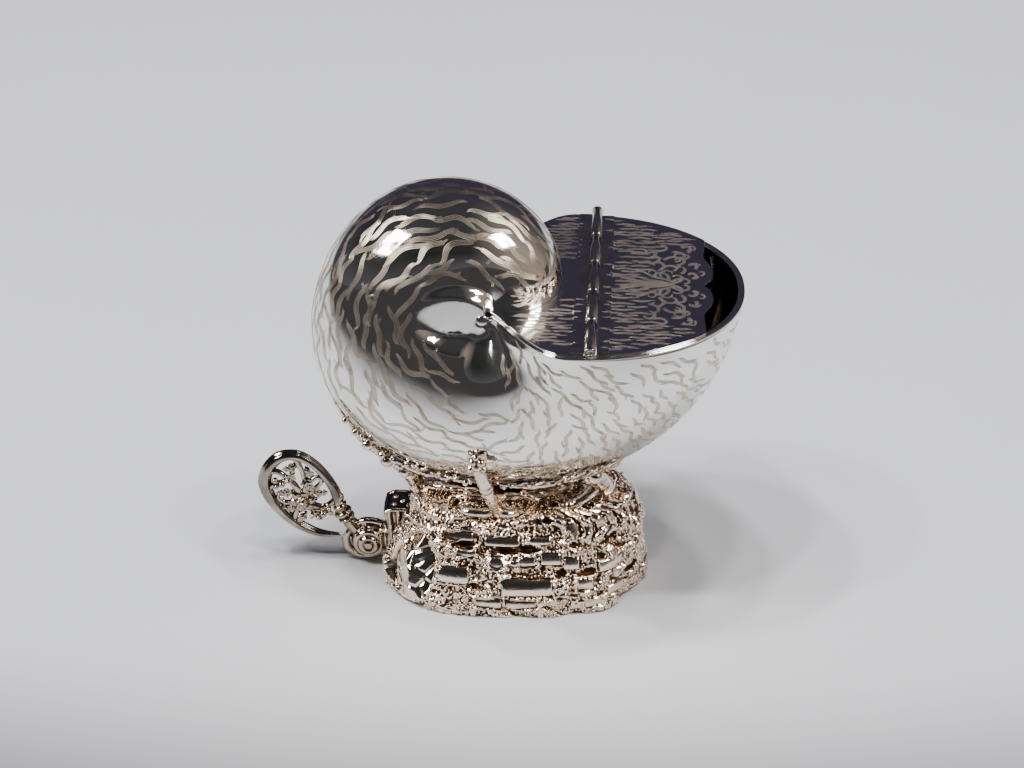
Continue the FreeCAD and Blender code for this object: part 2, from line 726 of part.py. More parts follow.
# foliage that fills the loop
flower = [knob("petal_%d" % i, place(-74.0 + 3.6 * math.cos(math.radians(60 * i)), 0,
                                      -103.4 + 3.6 * math.sin(math.radians(60 * i))), 2.5, "loop_bar")
          for i in range(6)]
flower.append(knob("flower_eye", place(-74.0, 0, -103.4), 2.9, "loop_bar"))
arms = [
    bar("arm_a", [place(-74.0, 0, -103.4), place(-76.5, 0, -97.0), place(-80.6, 0, -92.0),
                  place(-83.4, 0, -90.0), place(-86.4, 0, -90.4)], [1.6, 1.5, 1.4, 1.4, 1.3], "loop_bar"),
    bar("arm_b", [place(-74.0, 0, -103.4), place(-72.4, 0, -96.4), place(-73.6, 0, -89.6),
                  place(-76.0, 0, -84.0)], [1.7, 1.6, 1.5, 1.4], "loop_bar"),
    bar("arm_c", [place(-74.0, 0, -103.4), place(-68.4, 0, -106.4), place(-64.6, 0, -106.0),
                  place(-60.6, 0, -102.6)], [1.7, 1.7, 1.5, 1.4], "loop_bar"),
    bar("arm_d", [place(-74.0, 0, -103.4), place(-76.6, 0, -109.0), place(-78.2, 0, -113.0)],
        [1.7, 1.5, 1.4], "loop_bar"),
]
leafage = fuse("leafage", flower + arms)
neck_cut = cut("leafage_off_neck", leafage, stem_bar)
keep(cut("ornament", neck_cut, loop), "handle_flower")

beads = [(-84.4, -2.6, -93.0), (-81.8, -2.7, -94.6), (-84.0, -2.4, -96.0), (-65.8, -2.8, -108.4)]
bd = []
for i, (x, y, z) in enumerate(beads):
    s = doc.addObject("Part::Sphere", "bead_%d" % i)
    s.setExpression("Radius", "Dims.bead_rad")
    s.Placement = Placement(place(x, y, z), Rotation())
    bd.append(s)

# leaf that carries the beads inside the loop
leaf = bar("bead_leaf_form", [place(-87.4, 0, -98.0), place(-84.4, 0, -95.6), place(-81.6, 0, -93.6),
                              place(-79.4, 0, -91.0)], [1.4, 2.2, 2.0, 1.0], "loop_bar")
leaf_clear = cut("bead_leaf_off_loop", leaf, loop)
leaf_piece = keep(cut("bead_leaf", leaf_clear, leafage), "handle_leaf")
clear = fuse("bead_seats", [leaf_piece, leafage])
keep(group("beads", [cut("bead_cut_%d" % i, s, clear) for i, s in enumerate(bd)]), "handle_beads")

doc.recompute()

# ------------------------------------------------------------ final assembly
bad = []
for o in doc.Objects:
    if any(k in o.State for k in ("Invalid", "Error")):
        bad.append("%s %s" % (o.Name, o.State))
for o in doc.Objects:
    if o.TypeId.startswith("Part") and hasattr(o, "Shape") and not o.Shape.isNull() and not o.Shape.isValid():
        print("not valid:", o.Name)
if bad:
    raise RuntimeError("failed objects: " + "; ".join(bad))

os.makedirs("parts", exist_ok=True)
total = 0.0
lo = Vector(1e9, 1e9, 1e9)
hi = Vector(-1e9, -1e9, -1e9)
for o in EXPORT:
    shp = o.Shape
    if shp.isNull() or not shp.isValid() or shp.Volume <= 0:
        raise RuntimeError("bad shape: %s valid=%s volume=%s" % (o.Label, shp.isValid(), shp.Volume))
    bb = shp.optimalBoundingBox(False)
    lo = Vector(min(lo.x, bb.XMin), min(lo.y, bb.YMin), min(lo.z, bb.ZMin))
    hi = Vector(max(hi.x, bb.XMax), max(hi.y, bb.YMax), max(hi.z, bb.ZMax))
    print("%-20s solids %d volume %9.1f  x %.1f..%.1f y %.1f..%.1f z %.1f..%.1f" % (
        o.Label, len(shp.Solids), shp.Volume, bb.XMin, bb.XMax, bb.YMin, bb.YMax, bb.ZMin, bb.ZMax))
    total += shp.Volume
for o in EXPORT:
    o.Shape.exportStep("parts/%s.step" % o.Label)
print("nodes", len(EXPORT), "total volume", round(total), "box", lo, hi, "middle", (lo.x + hi.x) / 2)
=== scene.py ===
import bpy
import json
import math
import numpy as np
from mathutils import Matrix, Vector

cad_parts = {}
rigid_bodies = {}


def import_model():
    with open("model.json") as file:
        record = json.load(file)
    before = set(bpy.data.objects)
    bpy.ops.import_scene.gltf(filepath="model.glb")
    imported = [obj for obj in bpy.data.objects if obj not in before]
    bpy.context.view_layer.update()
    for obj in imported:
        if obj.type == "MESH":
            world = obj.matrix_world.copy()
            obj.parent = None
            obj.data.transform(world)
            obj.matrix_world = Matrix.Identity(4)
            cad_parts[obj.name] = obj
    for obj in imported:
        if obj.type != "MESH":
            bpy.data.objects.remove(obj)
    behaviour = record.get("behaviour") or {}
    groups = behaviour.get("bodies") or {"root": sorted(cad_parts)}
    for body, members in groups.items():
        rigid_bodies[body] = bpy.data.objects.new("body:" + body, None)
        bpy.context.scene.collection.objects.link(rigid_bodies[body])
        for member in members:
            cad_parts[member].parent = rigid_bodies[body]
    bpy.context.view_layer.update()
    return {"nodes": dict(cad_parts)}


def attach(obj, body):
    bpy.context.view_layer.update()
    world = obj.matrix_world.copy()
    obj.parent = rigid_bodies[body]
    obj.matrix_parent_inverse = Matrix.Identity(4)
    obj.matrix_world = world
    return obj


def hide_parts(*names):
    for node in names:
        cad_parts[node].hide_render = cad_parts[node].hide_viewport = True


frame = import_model()
NODES = frame["nodes"]

A = np.array([-2.18, 0.0, 131.0])  # the coil axis in the object's frame, mm
MM = 0.001
rng = np.random.default_rng(428)


# ---------------------------------------------------------------- mesh tools
def mesh_object(name, verts, quads=None, tris=None, mat=None, smooth=True, sharp=None, rel=True):
    """A mesh from numpy arrays, in mm from the coil axis unless rel is False."""
    v = np.asarray(verts, float)
    v = (v + A if rel else v) * MM
    polys = []
    q = np.asarray(quads, np.int32).reshape(-1, 4) if quads is not None and len(quads) else np.zeros((0, 4), np.int32)
    t = np.asarray(tris, np.int32).reshape(-1, 3) if tris is not None and len(tris) else np.zeros((0, 3), np.int32)
    me = bpy.data.meshes.new(name)
    me.vertices.add(len(v))
    me.vertices.foreach_set("co", v.astype(np.float32).ravel())
    idx = np.concatenate([q.ravel(), t.ravel()]).astype(np.int32)
    me.loops.add(len(idx))
    me.loops.foreach_set("vertex_index", idx)
    tot = np.concatenate([np.full(len(q), 4), np.full(len(t), 3)]).astype(np.int32)
    start = np.concatenate([[0], np.cumsum(tot)[:-1]]).astype(np.int32)
    me.polygons.add(len(tot))
    me.polygons.foreach_set("loop_start", start)
    me.polygons.foreach_set("use_smooth", np.full(len(tot), bool(smooth)))
    me.update(calc_edges=True)
    me.validate()
    o = bpy.data.objects.new(name, me)
    bpy.context.scene.collection.objects.link(o)
    if mat is not None:
        me.materials.append(mat)
    return o


def set_attr(o, name, values):
    a = o.data.attributes.new(name, "FLOAT", "POINT")
    a.data.foreach_set("value", np.asarray(values, np.float32).ravel())


def fix_normals(o):
    import bmesh
    bm = bmesh.new()
    bm.from_mesh(o.data)
    bmesh.ops.recalc_face_normals(bm, faces=bm.faces)
    bm.to_mesh(o.data)
    bm.free()


def piece(o, body, slot, *replaced):
    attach(o, body)
    if replaced:
        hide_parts(*replaced)
    return o


def grid_quads(ni, nj, wrap_i=False, wrap_j=False, base=0):
    """Quads of a grid whose vertex (i, j) is number i * nj + j."""
    i = np.arange(ni if wrap_i else ni - 1)
    j = np.arange(nj if wrap_j else nj - 1)
    I, J = np.meshgrid(i, j, indexing="ij")
    I2, J2 = (I + 1) % ni, (J + 1) % nj
    return base + np.stack([I * nj + J, I2 * nj + J, I2 * nj + J2, I * nj + J2], -1).reshape(-1, 4)


# --------------------------------------------------------------------- noise
def _hash(ix, iy, iz, k):
    h = (ix.astype(np.int64) * 374761393 + iy.astype(np.int64) * 668265263
         + iz.astype(np.int64) * 2147483647 + k * 1274126177) & 0xFFFFFFFF
    h = ((h ^ (h >> 13)) * 1274126177) & 0xFFFFFFFF
    h = ((h ^ (h >> 16)) * 2246822519) & 0xFFFFFFFF
    return ((h ^ (h >> 15)) & 0xFFFFFF) / float(0xFFFFFF)


def value_noise(p, scale, seed=0):
    """Smooth noise, about -1 to 1, with features of the size scale in mm."""
    x = np.asarray(p, float) / scale
    i = np.floor(x).astype(np.int64)
    f = x - i
    f = f * f * f * (f * (f * 6 - 15) + 10)
    out = 0.0
    for dx in (0, 1):
        wx = f[:, 0] if dx else 1 - f[:, 0]
        for dy in (0, 1):
            wy = f[:, 1] if dy else 1 - f[:, 1]
            for dz in (0, 1):
                wz = f[:, 2] if dz else 1 - f[:, 2]
                out = out + wx * wy * wz * _hash(i[:, 0] + dx, i[:, 1] + dy, i[:, 2] + dz, seed)
    return out * 2 - 1


def fbm(p, scale, octaves=4, seed=0, gain=0.5):
    out, amp, tot = 0.0, 1.0, 0.0
    for o in range(octaves):
        out = out + amp * value_noise(p, scale / 2 ** o, seed + 17 * o)
        tot += amp
        amp *= gain
    return out / tot * 1.6


def cells(p, scale, seed=0, stretch=(1, 1, 1)):
    """Distances to the nearest and second nearest seed, and the nearest one's number."""
    x = np.asarray(p, float) / (scale * np.asarray(stretch, float))
    i = np.floor(x).astype(np.int64)
    f1 = np.full(len(x), 9.0)
    f2 = np.full(len(x), 9.0)
    who = np.zeros(len(x))
    for dx in (-1, 0, 1):
        for dy in (-1, 0, 1):
            for dz in (-1, 0, 1):
                c = i + (dx, dy, dz)
                h = [_hash(c[:, 0], c[:, 1], c[:, 2], seed + k) for k in (1, 2, 3, 4)]
                s = c + np.stack(h[:3], -1)
                d = np.sqrt(((x - s) ** 2).sum(1))
                near = d < f1
                f2 = np.where(near, f1, np.minimum(f2, d))
                who = np.where(near, h[3], who)
                f1 = np.where(near, d, f1)
    return f1, f2, who


def smooth01(t):
    t = np.clip(t, 0, 1)
    return t * t * (3 - 2 * t)


# ----------------------------------------------------------------- materials
def new_material(name):
    m = bpy.data.materials.new(name)
    m.use_nodes = True
    nt = m.node_tree
    nt.nodes.clear()
    out = nt.nodes.new("ShaderNodeOutputMaterial")
    sh = nt.nodes.new("ShaderNodeBsdfPrincipled")
    nt.links.new(sh.outputs["BSDF"], out.inputs["Surface"])
    sh.inputs["Metallic"].default_value = 1.0
    return m, nt, sh


def noise_node(nt, scale, detail=3.0, rough=0.5, kind="ShaderNodeTexNoise", coords=None):
    n = nt.nodes.new(kind)
    n.inputs["Scale"].default_value = scale
    if "Detail" in n.inputs:
        n.inputs["Detail"].default_value = detail
    if "Roughness" in n.inputs:
        n.inputs["Roughness"].default_value = rough
    if coords is None:
        coords = nt.nodes.new("ShaderNodeTexCoord")
    nt.links.new(coords.outputs["Object"], n.inputs["Vector"])
    return n


def ramp(nt, source, stops):
    r = nt.nodes.new("ShaderNodeValToRGB")
    el = r.color_ramp.elements
    while len(el) < len(stops):
        el.new(0.5)
    for e, (pos, col) in zip(el, stops):
        e.position = pos
        e.color = (*col, 1.0)
    nt.links.new(source, r.inputs["Fac"])
    return r


def map_range(nt, source, a, b, lo, hi):
    m = nt.nodes.new("ShaderNodeMapRange")
    m.inputs["From Min"].default_value = a
    m.inputs["From Max"].default_value = b
    m.inputs["To Min"].default_value = lo
    m.inputs["To Max"].default_value = hi
    nt.links.new(source, m.inputs["Value"])
    return m


def bump(nt, sh, source, strength, distance):
    b = nt.nodes.new("ShaderNodeBump")
    b.inputs["Strength"].default_value = strength
    b.inputs["Distance"].default_value = distance
    nt.links.new(source, b.inputs["Height"])
    nt.links.new(b.outputs["Normal"], sh.inputs["Normal"])
    return b


def silver(name, light, dark, rough, wear_scale=60.0, ripple=0.0):
    """Polished plate: faint clouding in colour and gloss, and a faint hammered ripple."""
    m, nt, sh = new_material(name)
    n = noise_node(nt, wear_scale, 4.0, 0.6)
    c = ramp(nt, n.outputs["Fac"], [(0.30, dark), (0.62, light)])
    nt.links.new(c.outputs["Color"], sh.inputs["Base Color"])
    n2 = noise_node(nt, wear_scale * 2.3, 5.0, 0.65)
    r = map_range(nt, n2.outputs["Fac"], 0.3, 0.7, rough[0], rough[1])
    nt.links.new(r.outputs["Result"], sh.inputs["Roughness"])
    if ripple:
        n3 = noise_node(nt, 38.0, 2.0, 0.4)
        bump(nt, sh, n3.outputs["Fac"], ripple, 0.001)
    return m


def tarnish_and_painted_shade(name, light, dark, deep, rough, grain_scale, grain, attr="recess"):
    """Cast plate, darker where the mesh's recess attribute is high: partly tarnish in the hollows, partly painted
    shade.
    """
    m, nt, sh = new_material(name)
    a = nt.nodes.new("ShaderNodeAttribute")
    a.attribute_name = attr
    n = noise_node(nt, 150.0, 5.0, 0.65)
    add = nt.nodes.new("ShaderNodeMath")
    add.operation = "MULTIPLY_ADD"
    nt.links.new(n.outputs["Fac"], add.inputs[0])
    add.inputs[1].default_value = 0.5
    nt.links.new(a.outputs["Fac"], add.inputs[2])
    # painted shade: the recess value runs the colour from light through dark to a near-black deep, partly tarnish in
    # the hollows, partly shade painted where light does not reach
    c = ramp(nt, add.outputs["Value"], [(0.26, light), (0.56, dark), (0.90, deep)])
    nt.links.new(c.outputs["Color"], sh.inputs["Base Color"])
    r = map_range(nt, add.outputs["Value"], 0.2, 1.1, rough[0], rough[1])
    nt.links.new(r.outputs["Result"], sh.inputs["Roughness"])
    if grain:
        g = noise_node(nt, grain_scale, 3.0, 0.6)
        bump(nt, sh, g.outputs["Fac"], grain, 0.0005)
    return m


MIRROR = silver("shell_mirror", (0.90, 0.885, 0.865), (0.84, 0.815, 0.785), (0.045, 0.11), 45.0, 0.03)
PLATE = silver("plate_mirror", (0.86, 0.85, 0.85), (0.78, 0.76, 0.76), (0.08, 0.16), 60.0, 0.02)
RIM = silver("rim_silver", (0.92, 0.90, 0.86), (0.82, 0.78, 0.72), (0.08, 0.17), 120.0, 0.0)
HINGE = silver("hinge_silver", (0.90, 0.87, 0.82), (0.72, 0.68, 0.62), (0.09, 0.2), 160.0, 0.0)
ENGRAVED = silver("engraved_line", (0.62, 0.55, 0.46), (0.42, 0.37, 0.30), (0.32, 0.46), 220.0, 0.0)
PLATE_CUT = silver("engraved_plate", (0.90, 0.82, 0.74), (0.74, 0.64, 0.58), (0.40, 0.56), 220.0, 0.0)
CAST = tarnish_and_painted_shade("cast_rock", (0.88, 0.77, 0.66), (0.44, 0.30, 0.19), (0.07, 0.038, 0.018), (0.07, 0.34), 900.0, 0.22)
CORAL = tarnish_and_painted_shade("cast_coral", (0.88, 0.78, 0.68), (0.46, 0.33, 0.22), (0.08, 0.045, 0.022), (0.07, 0.30), 1100.0, 0.12)
# painted dark reflection: the handle, its bow and bracket are the same silver as the rest, with darker colours standing
# in for the dark room they reflect
HANDLE_PAINTED_DARK = tarnish_and_painted_shade("handle_painted_dark", (0.56, 0.49, 0.41), (0.22, 0.165, 0.11), (0.035, 0.022, 0.014), (0.05, 0.22), 900.0, 0.06)
BOW_PAINTED_DARK = tarnish_and_painted_shade("bow_painted_dark", (0.46, 0.42, 0.39), (0.26, 0.23, 0.20), (0.07, 0.055, 0.045), (0.06, 0.16), 900.0, 0.05)
BRASS = silver("turned_brass", (0.86, 0.74, 0.50), (0.62, 0.48, 0.28), (0.22, 0.4), 200.0, 0.0)

# ---------------------------------------------------------------- shell form
RAD = [95.96, 90.9, 85.6, 79.6, 63.3, 49.65, 37.9, 30.6, 28.5]
WID = [52.1, 42.6, 36.0, 32.3, 29.8, 27.2, 24.8, 23.2, 22.4]
NAVEL = 22.0


def spline_moments(v):
    n = len(v)
    a, d, m = [0.0] * n, [0.0] * n, [0.0] * n
    for i in range(1, n - 1):
        w = 4.0 - a[i - 1]
        a[i] = 1.0 / w
        d[i] = (6.0 * (v[i + 1] - 2 * v[i] + v[i - 1]) - d[i - 1]) / w
    for i in range(n - 2, 0, -1):
        m[i] = d[i] - a[i] * m[i + 1]
    return np.array(m)


RADM, WIDM = spline_moments(RAD), spline_moments(WID)


def knots(v, m, th):
    v = np.asarray(v)
    u = np.clip(np.degrees(th) / 45.0, 0, 8)
    i = np.minimum(7, np.floor(u).astype(int))
    f = u - i
    g = 1 - f
    return g * v[i] + f * v[i + 1] + ((g ** 3 - g) * m[i] + (f ** 3 - f) * m[i + 1]) / 6.0


def half_width(q, wide, navel=NAVEL):
    k = np.clip((q - 0.334) / 0.666, 0, 1)
    flank = wide * np.maximum(0, 1 - k ** 2.15) ** (1 / 2.1)
    dish = navel + (wide - navel) * np.sin(np.pi / 2 * np.clip(q, 0, 0.334) / 0.334) ** 1.3
    return np.where(q > 0.334, flank, dish)


def shell_pt(th, q, side, inset=0.0):
    th, q = np.broadcast_arrays(np.asarray(th, float), np.asarray(q, float))
    r = knots(RAD, RADM, th) - inset
    w = knots(WID, WIDM, th) - inset
    y = half_width(q, w, NAVEL - inset)
    # on the coil's upper and rear face the navel's dish is narrower
    deg = np.degrees(th)
    u = np.clip((deg - 95.0) / 55.0, 0, 1)
    u = u * u * (3 - 2 * u)
    crest = 0.334 * (1 - u) + np.minimum(0.334, 9.5 / r) * u
    nav = NAVEL - inset
    tight = nav + (w - nav) * np.sin(np.pi / 2 * np.clip(q / crest, 0, 1)) ** 1.3
    y = np.where(q < 0.334, tight, y)
    x, z = q * r * np.cos(th), -q * r * np.sin(th)
    # a gently tilted oval face beside the navel
    rho = np.sqrt(((x + 9.6) / 12.6) ** 2 + ((z - 0.6) / 9.6) ** 2)
    k = smooth01((1.34 - rho) / 0.42) * (1 - smooth01((x - 0.4) / 3.2))
    y = y * (1 - k) + (28.3 + 0.185 * z - inset) * k
    return np.stack([x, side * y, z], -1)


def shell_nrm(th, q, side):
    e = 1e-3
    a = shell_pt(th + e, q, side) - shell_pt(th - e, q, side)
    b = shell_pt(th, np.minimum(1, q + e), side) - shell_pt(th, q - e, side)
    n = np.cross(a, b)
    n /= np.linalg.norm(n, axis=-1, keepdims=True) + 1e-12
    c = shell_pt(th, q, side) - np.array([0, 8.0, 0]) * np.asarray(side)[..., None]
    return np.where((n * c).sum(-1, keepdims=True) < 0, -n, n)


def on_shell(deg, q, lift, side=-1):
    th = math.radians(deg)
    return (shell_pt(th, q, side) + shell_nrm(th, q, side) * lift).reshape(3)


# table of q by angle and by the share f of the arc from the keel to the navel
TBL_T = np.radians(np.linspace(0, 360, 361))
_k = np.linspace(0, 1, 700)
_q = 1 - (1 - _k) ** 2.1
TBL_F = np.linspace(0, 1, 241)
TBL_Q = np.zeros((361, 241))
TBL_L = np.zeros(361)
for i, t in enumerate(TBL_T):
    prof = shell_pt(t, _q, 1.0)
    seg = np.linalg.norm(np.diff(prof, axis=0), axis=1)
    s = np.concatenate([[0], np.cumsum(seg)])
    TBL_L[i] = s[-1]
    TBL_Q[i] = np.interp(TBL_F, 1 - s[::-1] / s[-1], _q[::-1])


def arc_q(th, f):
    u = np.clip(np.degrees(th), 0, 359.999)
    i = np.floor(u).astype(int)
    a = u - i
    v = np.clip(f, 0, 1) * 240
    j = np.minimum(239, np.floor(v).astype(int))
    b = v - j
    t = TBL_Q
    return ((1 - a) * ((1 - b) * t[i, j] + b * t[i, j + 1])
            + a * ((1 - b) * t[i + 1, j] + b * t[i + 1, j + 1]))


def arc_len(th):
    return np.interp(np.degrees(th), np.arange(361), TBL_L)


def arc_point(th, F):
    """Point for a signed share F: its sign is the side, 0 the keel, 1 the navel."""
    side = np.where(F < 0, -1.0, 1.0)
    q = arc_q(th, np.abs(F))
    return shell_pt(th, q, side)


def arc_frame(th, F):
    """Point, unit vectors along the coil and across it, and the outward normal."""
    e, g = 2e-3, 2e-3
    p = arc_point(th, F)
    a = arc_point(th + e, F) - arc_point(th - e, F)
    b = arc_point(th, F + g) - arc_point(th, F - g)
    a /= np.linalg.norm(a, axis=-1, keepdims=True) + 1e-12
    b /= np.linalg.norm(b, axis=-1, keepdims=True) + 1e-12
    n = np.cross(a, b)
    n /= np.linalg.norm(n, axis=-1, keepdims=True) + 1e-12
    out = p - np.array([0, 0, 0])
    c = p - np.stack([0 * th, np.where(F < 0, -8.0, 8.0), 0 * th], -1)
    n = np.where((n * c).sum(-1, keepdims=True) < 0, -n, n)
    return p, a, b, n


# the shell's sheet: outer and inner skin, closed at the mouth, the coil's edge and the navels
NI, NJ = 330, 71  # along the coil; across one side
kk = np.linspace(0, 1, NJ)


def skin(inset):
    rows = []
    s = np.linspace(0, 1, NI)
    s = s + 0.012 * np.sin(2 * np.pi * s)
    for side in (-1.0, 1.0):
        q0 = 1.6 / (knots(RAD, RADM, np.array(3.2)) - inset)
        grid = np.zeros((NI, NJ, 3))
        for j, k in enumerate(kk):
            # radius share from the navel to the keel, closer together near the keel
            base_k = k
            qa = np.full(2, 0.5)
            lim = []
            for end in (0, 1):
                th = 0.01 if end == 0 else 2 * math.pi - 0.01
                for _ in range(40):
                    r = float(knots(RAD, RADM, np.array(th))) - inset
                    w0 = 1.6 / r
                    q = w0 + (1 - w0) * (1 - (1 - base_k) ** 2.1)
                    sn = min(1.0, 1.0 / (q * r))
                    th = math.asin(sn) if end == 0 else 2 * math.pi - math.asin(sn)
                lim.append(th)
            th = lim[0] + (lim[1] - lim[0]) * s
            r = knots(RAD, RADM, th) - inset
            w0 = 1.6 / r
            q = w0 + (1 - w0) * (1 - (1 - base_k) ** 2.1)
            grid[:, j] = shell_pt(th, q, side, inset)
        rows.append(grid)
    near, far = rows
    # from the near navel over the keel to the far navel
    return np.concatenate([near, far[:, -2::-1]], axis=1)


outer, inner = skin(0.0), skin(1.2)
ni, nj = outer.shape[:2]
V = np.concatenate([outer.reshape(-1, 3), inner.reshape(-1, 3)])
off = ni * nj
Q = [grid_quads(ni, nj), grid_quads(ni, nj, base=off)[:, ::-1]]
ring = np.concatenate([np.arange(nj), (np.arange(1, ni) * nj + nj - 1),
                       ((ni - 1) * nj + np.arange(nj - 2, -1, -1)), (np.arange(ni - 2, 0, -1) * nj)])
nx = np.roll(ring, -1)
Q.append(np.stack([ring, ring + off, nx + off, nx], -1))
shell = mesh_object("shell", V, np.concatenate(Q), mat=MIRROR)
fix_normals(shell)
piece(shell, "root", "engraved_silver", "shell_right_half", "shell_left_half")

def ring_stack(name, rings, mat, caps=True, smooth=True):
    """Closed piece from a stack of rings with the same number of points."""
    n = len(rings[0])
    V = np.concatenate(rings)
    Q = grid_quads(len(rings), n, wrap_j=True)
    o = mesh_object(name, V, Q, mat=mat, smooth=smooth)
    if caps:
        import bmesh
        bm = bmesh.new()
        bm.from_mesh(o.data)
        bm.verts.ensure_lookup_table()
        lo = bm.faces.new([bm.verts[i] for i in range(n)][::-1])
        hi = bm.faces.new([bm.verts[len(V) - n + i] for i in range(n)])
        lo.smooth = hi.smooth = False
        bmesh.ops.recalc_face_normals(bm, faces=bm.faces)
        bm.to_mesh(o.data)
        bm.free()
    return o


for side, tag in ((-1.0, "right"), (1.0, "left")):
    ub_ = np.linspace(0, math.pi, 15)
    prof_n = np.stack([2.3 * np.sin(ub_), 0.85 * np.cos(ub_)], -1)
    prof_n[0, 0] = prof_n[-1, 0] = 0.03
    an = np.linspace(0, 2 * math.pi, 36, endpoint=False)
    rings_n = [np.stack([a_ * np.cos(an), np.full(36, side * 28.35 + b_), a_ * np.sin(an)], -1) for a_, b_ in prof_n]
    button = ring_stack("navel_" + tag, rings_n, MIRROR)
    piece(button, "root", "engraved_silver")

# ------------------------------------------------------------- mouth and lid
def rim_at(x, inset=0.0):
    """Near rim point and the step inwards from it, measured from the coil axis."""
    r, w = RAD[0], WID[0]
    x = np.asarray(x, float)
    y = half_width(x / r, w)
    e = 0.02
    xa, xb = np.maximum(0, x - e), np.minimum(r, x + e)
    ya, yb = half_width(xa / r, w), half_width(xb / r, w)
    tx, ty = xb - xa, yb - ya
    n = np.hypot(tx, ty)
    return x + inset * ty / n, y - inset * tx / n, ty / n, -tx / n


def lip_places(x0, x1, n, lip):
    t = np.linspace(0, 1, n)
    return x0 + (x1 - x0) * (1 - (1 - t) ** 2.1 if lip else t)


def smooth_line(pts, per=8):
    """Smooth curve through points, ends included."""
    p = np.array(pts, float)
    n = len(p)
    ext = np.concatenate([[2 * p[0] - p[1]], p, [2 * p[-1] - p[-2]]])
    out = []
    for i in range(n - 1):
        a, b, c, d = ext[i], ext[i + 1], ext[i + 2], ext[i + 3]
        t = np.linspace(0, 1, per, endpoint=False)[:, None]
        out.append(0.5 * (2 * b + (c - a) * t + (2 * a - 5 * b + 4 * c - d) * t ** 2
                          + (3 * b - a - 3 * c + d) * t ** 3))
    out.append(p[-1:])
    return np.concatenate(out)


def plate(name, outline, z0, z1, mat, edge=0.22):
    """Flat plate with softened edges; the outline runs round once."""
    p = np.asarray(outline, float)
    t = np.roll(p, -1, 0) - np.roll(p, 1, 0)
    t /= np.linalg.norm(t, axis=1, keepdims=True) + 1e-12
    area2 = (p[:, 0] * np.roll(p[:, 1], -1) - np.roll(p[:, 0], -1) * p[:, 1]).sum()
    inw = np.stack([-t[:, 1], t[:, 0]], -1) * (1 if area2 > 0 else -1)
    rings = []
    for k in range(4):
        a = math.pi / 2 * k / 3
        rings.append((edge * (1 - math.sin(a)), z0 + edge * (1 - math.cos(a))))
    for k in range(4):
        a = math.pi / 2 * k / 3
        rings.append((edge * (1 - math.cos(a)), z1 - edge * (1 - math.sin(a))))
    stack = [np.concatenate([p + inw * d, np.full((len(p), 1), z)], 1) for d, z in rings]
    return ring_stack(name, stack, mat)


# rolled rim: a flat band with a bead on its outer edge
xs = lip_places(1.0, RAD[0], 150, True)
bx, by, nx_, ny_ = rim_at(xs)
nx_[-1], ny_[-1] = -1.0, 0.0
path = np.concatenate([np.stack([bx, -by], -1), np.stack([bx, by], -1)[-2::-1]])
inward = np.concatenate([np.stack([nx_, -ny_], -1), np.stack([nx_, ny_], -1)[-2::-1]])
fold = smooth01((path[:, 0] - 1.0) / 11.0)
wide = 1.1 + 1.0 * fold
bead = 0.30 + 0.27 * fold
rows = []
for c in range(14):
    if c < 9:
        a = math.radians(80 + 200 * c / 8)
        d = -0.06 + bead * np.cos(a)
        z = -0.46 + bead * np.sin(a)
    else:
        d = wide - np.array([0.25, 0.04, 0.0, 0.06, 0.3])[c - 9]
        z = np.array([-1.0, -0.93, -0.5, -0.07, -0.01])[c - 9] + 0 * d
    rows.append(np.concatenate([path + inward * np.asarray(d)[:, None], np.asarray(z)[:, None]], 1))
rows = np.stack(rows, 1)
nb, mb = rows.shape[:2]
band = mesh_object("mouth_rim", rows.reshape(-1, 3), grid_quads(nb, mb, wrap_j=True), mat=RIM)
import bmesh
bm = bmesh.new()
bm.from_mesh(band.data)
bm.verts.ensure_lookup_table()
bm.faces.new([bm.verts[i] for i in range(mb)])
bm.faces.new([bm.verts[(nb - 1) * mb + i] for i in range(mb)])
bmesh.ops.recalc_face_normals(bm, faces=bm.faces)
bm.to_mesh(band.data)
bm.free()
piece(band, "root", "polished_silver", "mouth_band")

HX, HZ = 40.1, 2.4
xs = lip_places(1.2, HX - 2.0, 60, False)
cx_, cy_, _, _ = rim_at(xs, 0.30)
cover_line = np.concatenate([np.stack([cx_, -cy_], -1), np.stack([cx_, cy_], -1)[::-1]])
cover = plate("cover_plate", cover_line, 0.0, 1.0, PLATE)
piece(cover, "root", "engraved_silver", "fixed_cover")

xs = lip_places(HX + 2.0, 82.0, 70, False)
lx, ly, _, _ = rim_at(xs, 0.35)
yc = ly[-1]
LOBE = [(81.2, 0.0), (82.75, 2.2), (84.1, 5.2), (84.7, 9.6), (84.2, 13.6), (82.7, 17.2), (81.35, 20.4),
        (81.3, 24.0), (81.65, 28.0), (lx[-1], yc)]
half = smooth_line(LOBE, 7)
half[0] = LOBE[0]
lid_line = np.concatenate([np.stack([lx, -ly], -1), (half * (1, -1))[-2:0:-1], half[:-1],
                           np.stack([lx, ly], -1)[::-1]])
lid = plate("lid", lid_line, 0.0, 1.0, PLATE)
piece(lid, "lid", "engraved_silver", "lid_plate")


def turned(name, profiles, axis_at, mat, n=72):
    """Closed rings turned about the hinge line: profile points are (radius, y)."""
    V, Q, base = [], [], 0
    for prof in profiles:
        prof = np.asarray(prof, float)
        a = np.linspace(0, 2 * math.pi, n, endpoint=False)
        g = np.stack([axis_at[0] + prof[None, :, 0] * np.cos(a)[:, None],
                      np.broadcast_to(prof[None, :, 1], (n, len(prof))),
                      axis_at[1] + prof[None, :, 0] * np.sin(a)[:, None]], -1)
        V.append(g.reshape(-1, 3))
        Q.append(grid_quads(n, len(prof), wrap_i=True, wrap_j=True, base=base))
        base += n * len(prof)
    o = mesh_object(name, np.concatenate(V), np.concatenate(Q), mat=mat)
    fix_normals(o)
    return o


